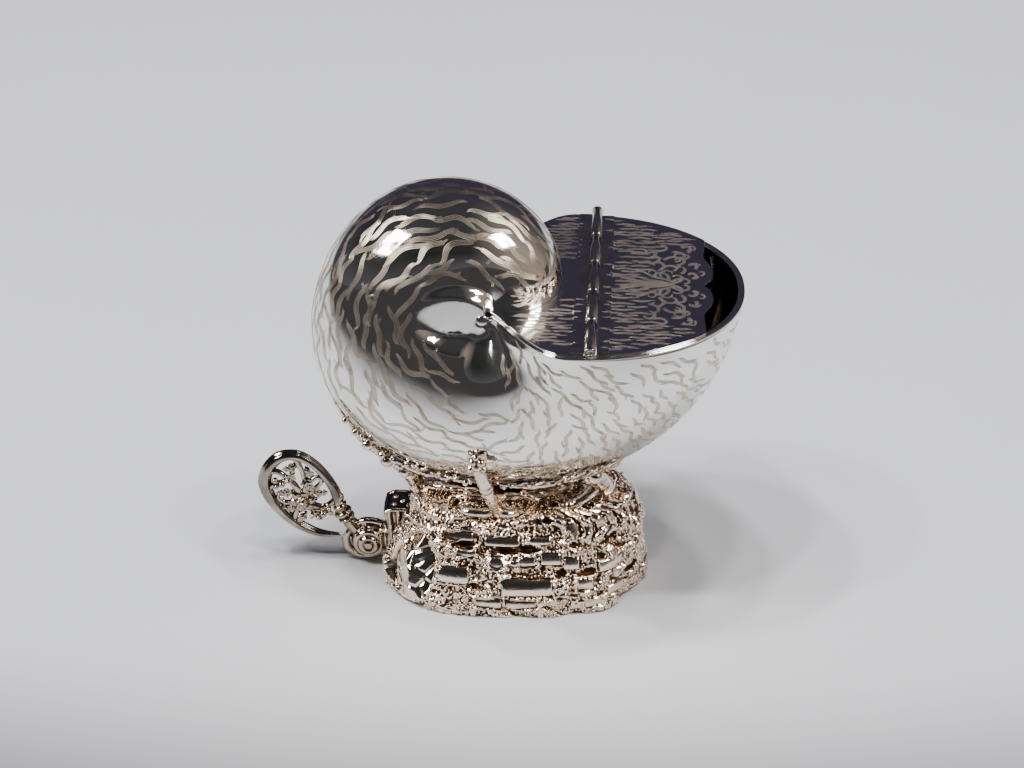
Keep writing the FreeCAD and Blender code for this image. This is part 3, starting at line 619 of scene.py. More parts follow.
def knuckle(y0, y1, bore, r=2.1, e=0.28):
    q = [(r - e * (1 - math.sin(a)), y0 + e * (1 - math.cos(a))) for a in np.linspace(0, math.pi / 2, 4)]
    # a fine turned line near each end
    q += [(r, y0 + 1.0), (r - 0.12, y0 + 1.12), (r - 0.12, y0 + 1.28), (r, y0 + 1.4)]
    q += [(r, y1 - 1.4), (r - 0.12, y1 - 1.28), (r - 0.12, y1 - 1.12), (r, y1 - 1.0)]
    q += [(r - e * (1 - math.cos(a)), y1 - e * (1 - math.sin(a))) for a in np.linspace(0, math.pi / 2, 4)]
    q += [(bore + 0.12, y1), (bore, y1 - 0.12), (bore, y0 + 0.12), (bore + 0.12, y0)]
    return q


ends = [(-52.5 + 21 * i + (0.15 if i else 0), -52.5 + 21 * (i + 1) - (0.15 if i < 4 else 0)) for i in range(5)]
o = turned("hinge_barrels_cover", [knuckle(*ends[i], 0.9) for i in (0, 2, 4)], (HX, HZ), HINGE)
piece(o, "root", "polished_silver", "cover_hinge_tubes")
o = turned("hinge_barrels_lid", [knuckle(*ends[i], 0.95) for i in (1, 3)], (HX, HZ), HINGE)
piece(o, "lid", "polished_silver", "lid_hinge_tubes")

# ------------------------------------------------------------------ engraving
def wave_line(start, heading, length, bends, n):
    """Plane curve from its turning: bends is a list of (share, turn in radians)."""
    s = np.linspace(0, 1, n)
    share = np.array([0.0] + [b[0] for b in bends])
    turn = np.array([0.0] + [b[1] for b in bends])
    # smooth heading through the given turns
    head = heading + np.interp(s, share, np.cumsum(turn))
    ker = np.array([0.25, 0.5, 0.25])
    for _ in range(max(1, n // 7)):
        head[1:-1] = np.convolve(head, ker, mode="valid")
    step = length / (n - 1)
    mid = (head[1:] + head[:-1]) / 2
    xy = np.concatenate([[[0, 0]], np.cumsum(np.stack([np.cos(mid), np.sin(mid)], -1) * step, 0)])
    return xy + start, head


def offset_line(xy, head, d):
    return xy + np.stack([-np.sin(head), np.cos(head)], -1) * np.asarray(d)[:, None]


def stroke_lines(r, size, lines=3, pitch=0.66):
    """One engraved flame: a waved stem of close lines with a hooked side arm.
    Gives plane curves with the width of the cut at each point."""
    out = []
    L = size * r.uniform(0.85, 1.25)
    a = r.uniform(0.65, 1.05)
    up = r.choice([-1.0, 1.0])
    n = 16
    xy, hd = wave_line(np.zeros(2), 0.62 * a, L, [(0.30, -1.25 * a), (0.72, 1.45 * a), (1.0, -r.uniform(0.5, 1.5) * a)], n)
    centre = xy.mean(0)
    s = np.linspace(0, 1, n)
    fan = 0.35 + 0.65 * np.sin(np.pi * np.clip(s * 0.9 + 0.08, 0, 1)) ** 0.8
    for i in range(lines):
        o = (i - (lines - 1) / 2) * pitch
        cut = 0.46 * np.clip(np.minimum(s, 1 - s) * 7 + 0.25, 0, 1)
        lo, hi = (0, n) if 0 < i < lines - 1 else (int(r.integers(0, 3)), n - int(r.integers(0, 4)))
        out.append((offset_line(xy, hd, o * fan)[lo:hi] - centre, cut[lo:hi]))
    if r.random() < 0.42:
        k = int(n * r.uniform(0.30, 0.6))
        m = 9
        turn = -r.uniform(0.8, 1.7)
        x2, h2 = wave_line(xy[k], hd[k], L * r.uniform(0.34, 0.5), [(0.35, 0.5), (1.0, turn - 0.5)], m)
        t = np.linspace(0, 1, m)
        for i in range(2):
            o = (i - 0.5) * pitch - 0.3
            cut = 0.44 * (1 - 0.3 * t) * np.clip((1 - t) * 8 + 0.3, 0, 1)
            out.append((offset_line(x2, h2, o * (0.35 + 0.65 * smooth01(t / 0.5))) - centre, cut))
    return [(c * np.array([1.0, up]), w) for c, w in out]


RIDGE, SUNK = 0.045, 0.05


def ribbon(centre, left, normal, width):
    """Closed low ridge along a line: two edges in the surface, a crest above, and a root below."""
    n = len(centre)
    w = np.asarray(width)[:, None] / 2
    a = centre - left * w - normal * 0.012
    c = centre + normal * RIDGE * np.minimum(1, w / 0.16)
    b = centre + left * w - normal * 0.012
    d = centre - normal * SUNK
    v = np.stack([a, c, b, d], 1).reshape(-1, 3)
    q = grid_quads(n, 4, wrap_j=True)
    caps = np.array([[0, 1, 2, 3], [4 * n - 1, 4 * n - 2, 4 * n - 3, 4 * n - 4]])
    return v, np.concatenate([q, caps])


class Lines:
    def __init__(self):
        self.v, self.q, self.n = [], [], 0

    def add(self, v, q):
        self.v.append(v)
        self.q.append(q + self.n)
        self.n += len(v)

    def build(self, name, mat):
        return mesh_object(name, np.concatenate(self.v), np.concatenate(self.q), mat=mat, smooth=False)


def on_shell_curve(th0, F0, angle, xy, width):
    """Lays a plane curve on the shell, turned by an angle from the coil's direction."""
    ca, sa = math.cos(angle), math.sin(angle)
    a = xy[:, 0] * ca - xy[:, 1] * sa
    c = xy[:, 0] * sa + xy[:, 1] * ca
    q0 = float(arc_q(np.array(th0), np.array(abs(F0))))
    rho = q0 * float(knots(RAD, RADM, np.array(th0)))
    L0 = float(arc_len(np.array(th0)))
    th = th0 + a / rho
    F = F0 + c / L0
    F = np.where(F > 1, 2 - F, np.where(F < -1, -2 - F, F))
    qq = arc_q(th, np.abs(F))
    rr = knots(RAD, RADM, th) * qq
    low = rr * np.sin(th)
    if th.min() < 0.03 or th.max() > 2 * math.pi - 0.05:
        return None
    front = rr * np.cos(th) > 0
    if np.any(front & (low < 1.9) & (th < math.pi)) or np.any(front & (low > -2.2) & (th > math.pi)):
        return None
    p, ta, tb, n = arc_frame(th, F)
    way = np.gradient(p, axis=0)
    way /= np.linalg.norm(way, axis=1, keepdims=True) + 1e-12
    left = np.cross(n, way)
    return ribbon(p, left, n, width)


def scatter(count, tries, reach, keep):
    """Well spread places on the shell, even by area, with a longer reach along the coil."""
    r = np.random.default_rng(77)
    th = r.uniform(0.04, 2 * math.pi - 0.05, tries)
    F = r.uniform(-1, 1, tries)
    rho = arc_q(th, np.abs(F)) * knots(RAD, RADM, th)
    wt = rho * arc_len(th)
    ok = r.uniform(0, (wt).max(), tries) < wt
    th, F = th[ok], F[ok]
    p, ta, tb, n = arc_frame(th, F)
    got = []
    for i in range(len(th)):
        if not keep(th[i], F[i]):
            continue
        if got:
            g = np.array(got)
            d = p[i] - p[g]
            la, lb = reach(th[i], F[i])
            x = (d * ta[g]).sum(1) / la
            y = (d * tb[g]).sum(1) / lb
            z = (d * n[g]).sum(1) / lb
            if (x * x + y * y + z * z).min() < 1:
                continue
        got.append(i)
        if len(got) >= count:
            break
    return th[got], F[got]


def stroke_zone(th, F):
    q = float(arc_q(np.array(th), np.array(abs(F))))
    r = q * float(knots(RAD, RADM, np.array(th)))
    deg = math.degrees(th)
    if deg > 70:
        x, z = r * math.cos(th), -r * math.sin(th)
        return (r > 16.0 and ((x + 9.6) / 20.0) ** 2 + (z / 16.0) ** 2 > 1
                and ((x + 3.0) / 11.5) ** 2 + ((z + 21.0) / 18.0) ** 2 > 1)
    return r > 12 + (70 - deg) * 0.05


def stroke_reach(th, F):
    deg = math.degrees(th)
    if deg < 75:
        return 4.2, 4.9
    if deg < 125:
        return 8.2, 3.5
    return 10.4, 3.8


th_s, F_s = scatter(3000, 26000, stroke_reach, stroke_zone)
groups = [Lines() for _ in range(4)]
r2 = np.random.default_rng(5)
for th0, F0 in zip(th_s, F_s):
    deg = math.degrees(th0)
    size = 18.0 if deg > 125 else (15.0 if deg > 75 else 10.5)
    if deg < 75:
        turn = math.radians(r2.normal(64, 13))
    elif deg < 125:
        turn = math.radians(r2.normal(8, 17))
    else:
        turn = math.radians(r2.normal(0, 10))
    if r2.random() < 0.35:
        turn += math.pi
    made = []
    for xy, w in stroke_lines(r2, size, 4 if deg > 125 else 3, 0.58 if deg > 75 else 0.56):
        got = on_shell_curve(th0, F0, turn, xy, w)
        if got is None:
            made = []
            break
        made.append(got)
    g = groups[(0 if F0 < 0 else 2) + (0 if deg < 110 else 1)]
    for v, q in made:
        g.add(v, q)
for g, nm in zip(groups, ("right_bowl", "right_coil", "left_bowl", "left_coil")):
    o = g.build("engraving_" + nm, ENGRAVED)
    piece(o, "root", "engraved_silver")
print("strokes", len(th_s), "faces", [sum(len(q) for q in g.q) for g in groups])

# the cover and the lid: finer flames along the lid, and scrolls towards its front
def extent(n):
    o = NODES[n]
    c = np.array([o.matrix_world @ v.co for v in o.data.vertices]) / MM - A
    return c.min(0), c.max(0)


bpy.context.view_layer.update()
STRIPS = [extent("cover_hinge_strip"), extent("lid_hinge_strip")]
print("strips", STRIPS)


def top_at(x, y):
    z = np.full(len(x), 1.0)
    for lo, hi in STRIPS:
        z = z + (hi[2] - 1.0) * smooth01((x - lo[0] + 0.1) / 0.1) * smooth01((hi[0] + 0.1 - x) / 0.1) * (np.abs(y) < hi[1])
    return z


def flat_ribbon(lines, xy, width):
    p = np.concatenate([xy, top_at(xy[:, 0], xy[:, 1])[:, None]], 1)
    way = np.gradient(p, axis=0)
    way /= np.linalg.norm(way, axis=1, keepdims=True) + 1e-12
    n = np.zeros_like(p)
    n[:, 2] = 1
    lines.add(*ribbon(p, np.cross(n, way), n, width))


def inside_plate(xy, x0, x1, lid_side):
    x, y = xy[:, 0], xy[:, 1]
    room = half_width(np.clip(x, 0, RAD[0]) / RAD[0], WID[0]) - 1.5
    ok = (x > x0) & (x < x1) & (np.abs(y) < room)
    if lid_side:
        ok &= x < np.interp(np.abs(y), half[:, 1], half[:, 0]) - 1.0
    if not lid_side:
        under = (x < 30.0) & (np.abs(y) < half_width(np.clip(x, 0, 28.5) / 28.5, 22.4) + 1.0)
        ok &= ~under
    return ok.all()


def flame(r, L, pitch=0.46, lines=3):
    out = []
    n = 15
    a = r.uniform(0.45, 0.8)
    xy, hd = wave_line(np.zeros(2), 0.5 * a, L, [(0.30, -a), (0.62, a), (1.0, -r.uniform(0.5, 1.1) * a)], n)
    c = xy.mean(0)
    t = np.linspace(0, 1, n)
    fan = 0.30 + 0.70 * np.sin(np.pi * np.clip(t, 0.02, 0.98)) ** 0.7
    for i in range(lines):
        o = (i - (lines - 1) / 2) * pitch
        cut = 0.50 * np.clip(np.minimum(t, 1 - t) * 7 + 0.25, 0, 1)
        lo, hi = (0, n) if i == 1 else (int(r.integers(0, 3)), n - int(r.integers(0, 4)))
        out.append((offset_line(xy, hd, o * fan)[lo:hi] - c, cut[lo:hi]))
    return out


def volute(at, way, L, turn, lines=2, pitch=0.54, n=20):
    """A C scroll that winds in on itself."""
    t = np.linspace(0, 1, n)
    head = way + turn * t ** 1.9
    step = L / (n - 1)
    xy = np.concatenate([[[0, 0]], np.cumsum(np.stack([np.cos(head[:-1]), np.sin(head[:-1])], -1) * step, 0)]) + at
    out = []
    for i in range(lines):
        o = (i - (lines - 1) / 2) * pitch
        cut = 0.64 * np.clip(np.minimum(t * 5 + 0.35, (1 - t) * 9 + 0.6), 0, 1)
        out.append((offset_line(xy, head, o * (1 - 0.55 * t)), cut))
    return out


r3 = np.random.default_rng(31)
on_cover, on_lid = Lines(), Lines()
for lines, x0, x1, lid_side, gap_y, gap_x in ((on_cover, 3.0, 37.6, False, 2.2, 9.0), (on_lid, 42.6, 83.4, True, 2.15, 8.8)):
    row = 0
    y = -51.0
    while y < 51.0:
        x = x0 - 4 + (row % 2) * gap_x / 2
        while x < x1 + 4:
            L = r3.uniform(7.5, 12.0)
            at = np.array([x + r3.normal(0, 1.0), y + r3.normal(0, 0.35)])
            near = lid_side and at[0] > 59.5 + 0.004 * at[1] ** 2 and abs(at[1]) < 28.5
            up = r3.choice([-1.0, 1.0])
            got = flame(r3, L)
            if not near:
                got = [(c * np.array([1.0, up]) + at, w) for c, w in got]
                if all(inside_plate(c, x0, x1, lid_side) for c, w in got):
                    for c, w in got:
                        flat_ribbon(lines, c, w)
            x += gap_x * r3.uniform(0.92, 1.12)
        y += gap_y * r3.uniform(0.94, 1.06)
        row += 1
for m in (-1.0, 1.0):
    curls = []
    for (x, y, way, L, turn, k) in (
            (69.0, 0.7, 0.35, 11.0, 4.2, 3), (69.0, 1.2, 0.95, 12.0, -4.6, 3), (68.0, 2.0, 1.5, 12.5, 4.4, 3),
            (66.0, 3.0, 2.0, 12.0, -4.2, 2), (72.5, 7.5, 0.9, 10.0, 4.8, 3), (64.5, 9.5, 1.15, 12.0, -4.4, 3),
            (70.5, 13.5, 0.5, 10.5, 4.4, 3), (66.0, 17.5, 0.9, 11.0, -4.4, 3), (73.5, 17.5, 1.25, 10.0, 4.2, 2),
            (69.0, 24.0, 0.1, 9.5, -4.2, 3), (77.0, 4.2, 0.9, 7.5, 4.4, 3), (78.0, 11.5, 1.2, 7.0, 4.2, 3),
            (62.5, 20.0, 1.3, 9.0, 4.0, 3), (75.0, 23.5, 0.9, 8.0, 4.2, 3), (60.5, 14.5, 0.4, 10.5, 3.9, 3),
            (62.0, 25.0, -0.2, 9.5, 4.0, 3), (77.5, 18.5, 1.4, 7.5, -4.3, 3), (76.0, 8.0, -0.2, 7.0, -4.2, 2),
            (66.5, 13.0, 1.9, 8.5, 4.4, 3), (71.0, 20.0, -0.5, 8.0, 4.3, 3), (80.0, 6.5, 0.7, 5.5, 4.2, 2),
            (80.0, 14.0, 2.0, 5.5, 4.0, 2), (77.5, 25.5, 1.2, 6.0, 4.2, 2), (72.5, 28.0, 0.3, 7.0, -4.2, 3),
            (63.0, 6.0, 1.3, 7.0, 4.2, 2)):
        curls += volute(np.array([x, y]), way, L, turn, k)
    # the stems that gather into the middle
    for (x, y, L, h0, b1, b2) in ((42.0 + 6, 1.2, 22.0, 0.10, -0.32, 0.25), (50.0, 3.6, 20.5, -0.05, -0.35, 0.22),
                                  (52.0, 6.4, 19.5, -0.10, -0.55, 0.45), (56.0, 9.6, 17.0, -0.2, -0.75, 0.6)):
        xy, hd = wave_line(np.array([x, y]), h0, L, [(0.3, b1), (0.6, -b1), (1.0, b2 * -1.0)], 18)
        t = np.linspace(0, 1, 18)
        for i in range(3):
            o = (i - 1.0) * 0.5
            curls.append((offset_line(xy, hd, o * (0.4 + 0.6 * np.sin(np.pi * t))), 0.52 * np.clip(np.minimum(t, 1 - t) * 12 + 0.4, 0, 1)))
    for c, w in curls:
        c = c * np.array([1.0, m])
        if inside_plate(c, 43.0, 84.0, True):
            flat_ribbon(on_lid, c, w)
o = on_cover.build("engraving_cover", PLATE_CUT)
piece(o, "root", "engraved_silver")
o = on_lid.build("engraving_lid", PLATE_CUT)
piece(o, "lid", "engraved_silver")

# ------------------------------------------------------------------ rock base
ROCK = [
    (0.0, [(-35.2, -5), (-40, -10), (-38.2, -19), (-33.6, -24.4), (-21, -32.8), (-5, -35.2),
           (14, -35.6), (31, -33.6), (46, -29.4), (55, -20.4), (61.8, -9.6),
           (62.6, 4.0), (59, 16), (50, 26.4), (36, 32.6), (18, 35.2), (0, 35.6),
           (-18, 33.4), (-31, 26), (-35.0, 13)]),
    (13.0, [(-34.4, -5), (-39, -10), (-37.2, -18), (-32.4, -22.4), (-20.4, -29.6), (-5, -31.8),
            (14, -32.0), (31, -30.6), (46, -27.0), (55, -18.8), (61.0, -9.0),
            (61.6, 4.0), (57.6, 15), (48, 24), (35, 29.4), (18, 31.6), (0, 32),
            (-17.6, 30), (-30, 23.6), (-34.2, 12)]),
    (26.0, [(-30.4, -5), (-32.6, -9), (-31.2, -14.4), (-27.4, -19.0), (-18.4, -24.6), (-5, -26.8),
            (14, -27.4), (31, -26.8), (45, -24.0), (54, -17.0), (59.4, -8.4),
            (60.0, 4.0), (56, 14), (46, 21.6), (34, 26.2), (18, 27.6), (0, 27.4),
            (-16, 25.4), (-26.8, 19.4), (-30.2, 11)]),
    (38.0, [(-27.6, -4), (-28.4, -7), (-27.4, -11), (-24.6, -14.8), (-16.4, -19.8), (-5, -22.4),
            (13, -23.0), (29, -22.6), (42, -19.6), (50, -14.0), (55, -7.0),
            (55.6, 3.0), (52, 11.6), (43, 17.8), (31, 21.6), (16, 22.8), (0, 22.6),
            (-14.4, 20.8), (-24, 15.6), (-28, 9)]),
]
E_VIEW, A_VIEW = math.radians(33.0), 0.0548
V_R = np.array([math.cos(A_VIEW), math.sin(A_VIEW), 0])
V_U = np.array([-math.sin(A_VIEW) * math.sin(E_VIEW), math.cos(A_VIEW) * math.sin(E_VIEW), math.cos(E_VIEW)])
V_B = np.array([math.sin(A_VIEW) * math.cos(E_VIEW), -math.cos(A_VIEW) * math.cos(E_VIEW), math.sin(E_VIEW)])
V_D, V_TX, V_TY, V_S = 2500.0, -25.11, 102.71, 0.375


def front_view(p):
    """Where a point from the coil axis lies in the front view's drawing."""
    c = (V_B * V_D - V_R * V_TX - V_U * V_TY) * V_S
    q = (np.asarray(p, float) - c) / V_S
    k = V_D / -(q @ V_B)
    return np.stack([512 + k * (q @ V_R), 384 - k * (q @ V_U)], -1)


def closed_curve(pts, t):
    p = np.array(pts, float)
    n = len(p)
    i = np.floor(t).astype(int) % n
    f = (t - np.floor(t))[:, None]
    a, b, c, d = p[(i - 1) % n], p[i], p[(i + 1) % n], p[(i + 2) % n]
    return 0.5 * (2 * b + (c - a) * f + (2 * a - 5 * b + 4 * c - d) * f ** 2 + (3 * b - a - 3 * c + d) * f ** 3)


# places round the base, closer together on the front
tt = np.linspace(0, 20, 4001)[:-1]
mid = closed_curve(ROCK[1][1], tt)
seg = np.linalg.norm(np.roll(mid, -1, 0) - mid, axis=1)
tang = np.roll(mid, -1, 0) - np.roll(mid, 1, 0)
tang /= np.linalg.norm(tang, axis=1, keepdims=True)
facing = tang[:, 0]  # outward normal is (ty, -tx): its -Y share is tx
dens = np.where(facing > 0.0, 1.0, 0.36)
dens = (np.roll(dens, 60) + np.roll(dens, -60) + dens * 2) / 4
NR = 680
cum = np.concatenate([[0], np.cumsum(seg * dens)])
want = np.linspace(0, cum[-1], NR + 1)[:-1]
t_r = np.interp(want, cum, np.linspace(0, 20, 4001))
arc = np.concatenate([[0], np.cumsum(seg)])
U_ = np.interp(t_r, np.linspace(0, 20, 4001), arc)  # mm round the base
U_TOTAL = arc[-1]
levels = np.stack([closed_curve(pts, t_r) for _, pts in ROCK])  # 4, NR, 2
zs = np.array([z for z, _ in ROCK])


def outline(z):
    """Outline at a height; the four drawn levels, blended smoothly."""
    u = np.clip(z / 13.0, 0, 2.9999) if z < 26 else 2 + (z - 26) / 12.0
    i = int(min(2, math.floor(u)))
    f = u - i
    lo, hi = levels[i], levels[i + 1]
    a = levels[max(0, i - 1)]
    d = levels[min(3, i + 2)]
    return 0.5 * (2 * lo + (hi - a) * f + (2 * a - 5 * lo + 4 * hi - d) * f ** 2 + (3 * lo - a - 3 * hi + d) * f ** 3)


base_rows, lean, v_mm = [], [], []
NWALL, NCORN, NDECK = 96, 9, 35
for j in range(NWALL):
    z = 35.4 * j / (NWALL - 1)
    o2 = outline(z)
    base_rows.append(np.concatenate([o2, np.full((NR, 1), z)], 1))
    lean.append(np.full(NR, 0.12))
    v_mm.append(z * 1.04)
top = outline(38.0)
cen = np.array([8.0, 0.0])
rim35 = outline(35.4)
for j in range(1, NCORN + 1):
    a = math.pi / 2 * j / NCORN
    inset = 2.6 * (1 - math.cos(a))
    way = cen - rim35
    way /= np.linalg.norm(way, axis=1, keepdims=True)
    o2 = rim35 + way * inset
    base_rows.append(np.concatenate([o2, np.full((NR, 1), 35.4 + 2.6 * math.sin(a))], 1))
    lean.append(np.full(NR, 0.12 + 0.88 * j / NCORN))
    v_mm.append(36.8 + 4.1 * j / NCORN)
deck_edge = base_rows[-1][:, :2]
ang = np.arctan2(deck_edge[:, 1] - 0.0, deck_edge[:, 0] - 6.0)
er = 1 / np.sqrt((np.cos(ang) / 21.0) ** 2 + (np.sin(ang) / 7.5) ** 2)
inner_ring = np.stack([6 + er * np.cos(ang), er * np.sin(ang)], -1)
for j in range(1, NDECK + 1):
    f = j / NDECK
    base_rows.append(np.concatenate([deck_edge * (1 - f) + inner_ring * f, np.full((NR, 1), 38.0 + 0.4 * f)], 1))
    lean.append(np.full(NR, 1.0))
    v_mm.append(40.9 + 15.0 * f)
B_ = np.stack(base_rows, 1)  # NR, rows, 3 : x from coil axis, y, z from the table
NRow = B_.shape[1]
lean = np.stack(lean, 1)
v_mm = np.array(v_mm)
tg = np.roll(B_, -1, 0) - np.roll(B_, 1, 0)
tg[..., 2] = 0
tg /= np.linalg.norm(tg, axis=-1, keepdims=True) + 1e-12
out_n = np.stack([tg[..., 1], -tg[..., 0], 0 * tg[..., 0]], -1)
cc = B_[..., :2] - cen
flip = np.sign((out_n[..., :2] * cc).sum(-1))
out_n *= flip[..., None]
lift_dir = out_n * np.cos(lean * math.pi / 2)[..., None] + np.array([0, 0, 1.0]) * np.sin(lean * math.pi / 2)[..., None]
UU = np.broadcast_to(U_[:, None], (NR, NRow))
VV = np.broadcast_to(v_mm[None, :], (NR, NRow))
fv = front_view(B_ - np.array([0, 0, 131.0]))
front_ok = (out_n[..., 1] < 0.25) | (lean > 0.9)


def near_front(px, py):
    d = (fv[..., 0] - px) ** 2 + (fv[..., 1] - py) ** 2 + np.where((out_n[..., 1] < 0.1) & (lean < 0.9), 0, 4e3)
    i, j = np.unravel_index(np.argmin(d), d.shape)
    return U_[i], v_mm[j]


def wrap_du(u0):
    return (UU - u0 + U_TOTAL / 2) % U_TOTAL - U_TOTAL / 2


def rect_of(x0, y0, x1, y1):
    """A drawn rectangle of the front view as middle and half sizes on the base."""
    xm, ym = (x0 + x1) / 2, (y0 + y1) / 2
    ua, _ = near_front(x0, ym)
    ub, _ = near_front(x1, ym)
    _, va = near_front(xm, y1)
    _, vb = near_front(xm, y0)
    return (ua + ub) / 2, (va + vb) / 2, abs(ub - ua) / 2, abs(vb - va) / 2


S3 = np.stack([B_[..., 0], B_[..., 1], B_[..., 2]], -1).reshape(-1, 3)
SH = (NR, NRow)
n_big = fbm(S3, 17.0, 3, 3).reshape(SH)
n_mid = fbm(S3, 6.5, 3, 11).reshape(SH)
# broken courses of stone
course = VV / 8.6 + 0.75 * fbm(np.stack([UU.ravel() * 0.5, VV.ravel() * 0.3, 0 * UU.ravel()], -1), 13.0, 2, 21).reshape(SH)
frac_v = course - np.floor(course)
step = smooth01(frac_v / 0.16) * (1 - 0.55 * frac_v)
row_id = np.floor(course)
brick_u = UU / 12.5 + _hash(row_id.astype(np.int64), 0 * row_id.astype(np.int64), 0 * row_id.astype(np.int64), 9) * 2.2 + 0.55 * n_mid + 0.5 * n_big
frac_u = np.abs((brick_u - np.floor(brick_u)) * 2 - 1)
joint = smooth01((frac_u - 0.80) / 0.2)
brick = _hash(row_id.astype(np.int64), np.floor(brick_u).astype(np.int64), 0 * row_id.astype(np.int64), 4)
h = 1.7 * n_big + 1.0 * n_mid + 0.40 * (step - 0.5) - 0.45 * joint + 1.0 * (brick - 0.5)
crust = np.ones(SH)
smooth_face = np.zeros(SH)


def block(u0, v0, hu, hv, up, crown, edge=0.8, soft=0.0):
    """A smooth convex face let into the crust, with a worn edge."""
    global h, crust, smooth_face
    du, dv = wrap_du(u0), VV - v0
    wob = 0.35 * n_mid
    d = np.maximum(np.abs(du) - hu, np.abs(dv) - hv) + wob * 0.6
    k = smooth01(-d / edge)
    flat = up + crown * (1 - (dv / hv) ** 2) + 0.3 * crown * (1 - (du / hu) ** 2) + soft * n_mid
    rim = np.exp(-((d - 0.35) / 0.55) ** 2)
    h = h * (1 - k) + flat * k + 0.5 * rim * (1 - k)
    crust = crust * (1 - smooth01((-d + 0.2) / 0.5))
    smooth_face = np.maximum(smooth_face, k)


def pit(u0, v0, hu, hv, down):
    global h, crust
    du, dv = wrap_du(u0), VV - v0
    d = np.sqrt((du / hu) ** 2 + (dv / hv) ** 2) + 0.25 * n_mid
    k = smooth01((1.15 - d) / 0.5)
    h = h * (1 - 0.6 * k) - down * k
    crust = crust * (1 - k)


# the front's blocks, from left to right and from the top down
for x0, y0, x1, y1, up, crown in (
        (438, 564, 470, 582, 1.0, 0.9), (484, 535, 521, 547, 0.8, 0.8), (500, 577, 553, 596, 1.2, 1.1),
        (540, 551, 562, 566, 0.7, 0.6), (576, 577, 594, 590, 0.6, 0.5), (474, 596, 502, 607, 0.8, 0.5),
        (505, 598, 538, 609, 0.3, 0.5), (443, 531, 474, 541, 0.0, 0.5), (520, 556, 536, 567, 0.5, 0.4),
        (489, 557, 503, 569, 0.3, 0.4), (563, 556, 580, 570, 0.8, 0.6), (598, 556, 622, 570, 0.4, 0.5),
        (584, 597, 602, 606, 0.4, 0.4), (606, 582, 622, 592, 0.4, 0.4), (455, 548, 477, 557, 0.2, 0.4),
        (528, 536, 552, 545, 0.2, 0.5)):
    u0, v0, hu, hv = rect_of(x0, y0, x1, y1)
    block(u0, v0, hu, max(hv, 1.6), up, crown)
for x, y, hu, hv, down in ((460, 545, 6.0, 1.7, 1.7), (530, 549, 5.0, 1.8, 1.6), (597, 512, 3.6, 2.8, 1.8),
                           (610, 534, 4.2, 3.2, 1.9), (588, 573, 4.0, 1.4, 1.4), (508, 552, 4.0, 1.2, 1.2),
                           (478, 586, 4.0, 1.3, 1.3), (560, 574, 2.4, 2.0, 1.5), (630, 566, 4.0, 2.0, 1.6),
                           (548, 520, 3.0, 2.4, 1.8), (574, 545, 3.0, 1.6, 1.4), (433, 590, 3.0, 1.2, 1.0)):
    u0, v0 = near_front(x, y)
    pit(u0, v0, hu, hv, down)
# more of both where the front view does not reach
rb = np.random.default_rng(91)
u_lo, _ = near_front(392, 570)
u_hi, _ = near_front(636, 570)
front_from, front_to = min(u_lo, u_hi), max(u_lo, u_hi)
for k in range(44):
    u0, v0 = rb.uniform(0, U_TOTAL), rb.uniform(3, 35)
    if front_from + 3 < u0 < front_to - 3:
        continue
    hu, hv = rb.uniform(2.6, 7.0), rb.uniform(1.8, 3.8)
    if rb.random() < 0.62:
        block(u0, v0, hu, hv, rb.uniform(0.1, 1.1), rb.uniform(0.4, 1.0))
    else:
        pit(u0, v0, hu * 0.7, hv * 0.7, rb.uniform(1.0, 1.9))

# the smooth faceted boulder at the handle end
ub, vb = near_front(411, 566)
du, dv = wrap_du(ub), VV - vb
planes = [3.6 - 0.10 * np.abs(du) - 0.02 * dv, 4.0 - 0.34 * (du + 3) - 0.20 * dv, 4.2 + 0.42 * (du - 2) + 0.10 * dv,
          3.9 - 0.10 * du - 0.46 * (dv - 4.5), 4.0 + 0.05 * du + 0.33 * (dv + 6), 4.3 + 0.2 * du - 0.35 * dv]
f6, e6, _ = cells(S3, 6.2, 83)
chips = np.clip((e6 - f6) * 2.4, 0, 0.8).reshape(SH)
tilt6 = value_noise(S3, 5.0, 84).reshape(SH)
facet = np.minimum.reduce(planes) + 0.12 * n_mid + 0.75 * (chips - 0.4) + 0.35 * tilt6
dd = np.sqrt((du / 12.2) ** 2 + (dv / 15.0) ** 2)
kb = smooth01((1.02 - dd) / 0.16)
h = h * (1 - kb) + (facet - 1.0) * kb + 0.9 * np.exp(-((dd - 0.95) / 0.055) ** 2)
crust = crust * (1 - kb)
smooth_face = np.maximum(smooth_face, kb)

# upright knobs and columns at the right end
uc, vc = near_front(604, 520)
du, dv = wrap_du(uc), VV - vc
kc = smooth01((19.0 - np.abs(du)) / 5.0) * smooth01((dv + 9.0) / 6.0) * smooth01((48.5 - VV) / 4.0)
col_u = du / 6.4 + 0.22 * fbm(np.stack([0 * VV.ravel(), VV.ravel(), 0 * VV.ravel()], -1), 7.0, 2, 33).reshape(SH)
ribs = np.sqrt(np.clip(1 - (2 * (col_u - np.floor(col_u)) - 1) ** 2, 0, 1))
col_id = np.floor(col_u).astype(np.int64)
tall = _hash(col_id, 0 * col_id, 0 * col_id, 77)
h = h * (1 - 0.8 * kc) + kc * (3.3 * ribs - 1.8 + 1.7 * (tall - 0.5) + 0.8 * n_mid)
crust = crust * (1 - 0.45 * kc)

# grains of the crust, and larger lumps under them
f1, f2, who = cells(S3, 1.35, 50)
grain = np.sqrt(np.clip(1 - (f1 / 0.66) ** 2, 0, 1)).reshape(SH)
g1, g2, gw = cells(S3, 3.4, 60)
lump = np.sqrt(np.clip(1 - (g1 / 0.72) ** 2, 0, 1)).reshape(SH)
patch = smooth01((value_noise(S3, 7.5, 70).reshape(SH) + 0.35) / 0.5)
h = h + crust * (0.42 * grain * (0.45 + 0.55 * patch) + 0.85 * lump * (1 - 0.5 * patch) - 0.45)
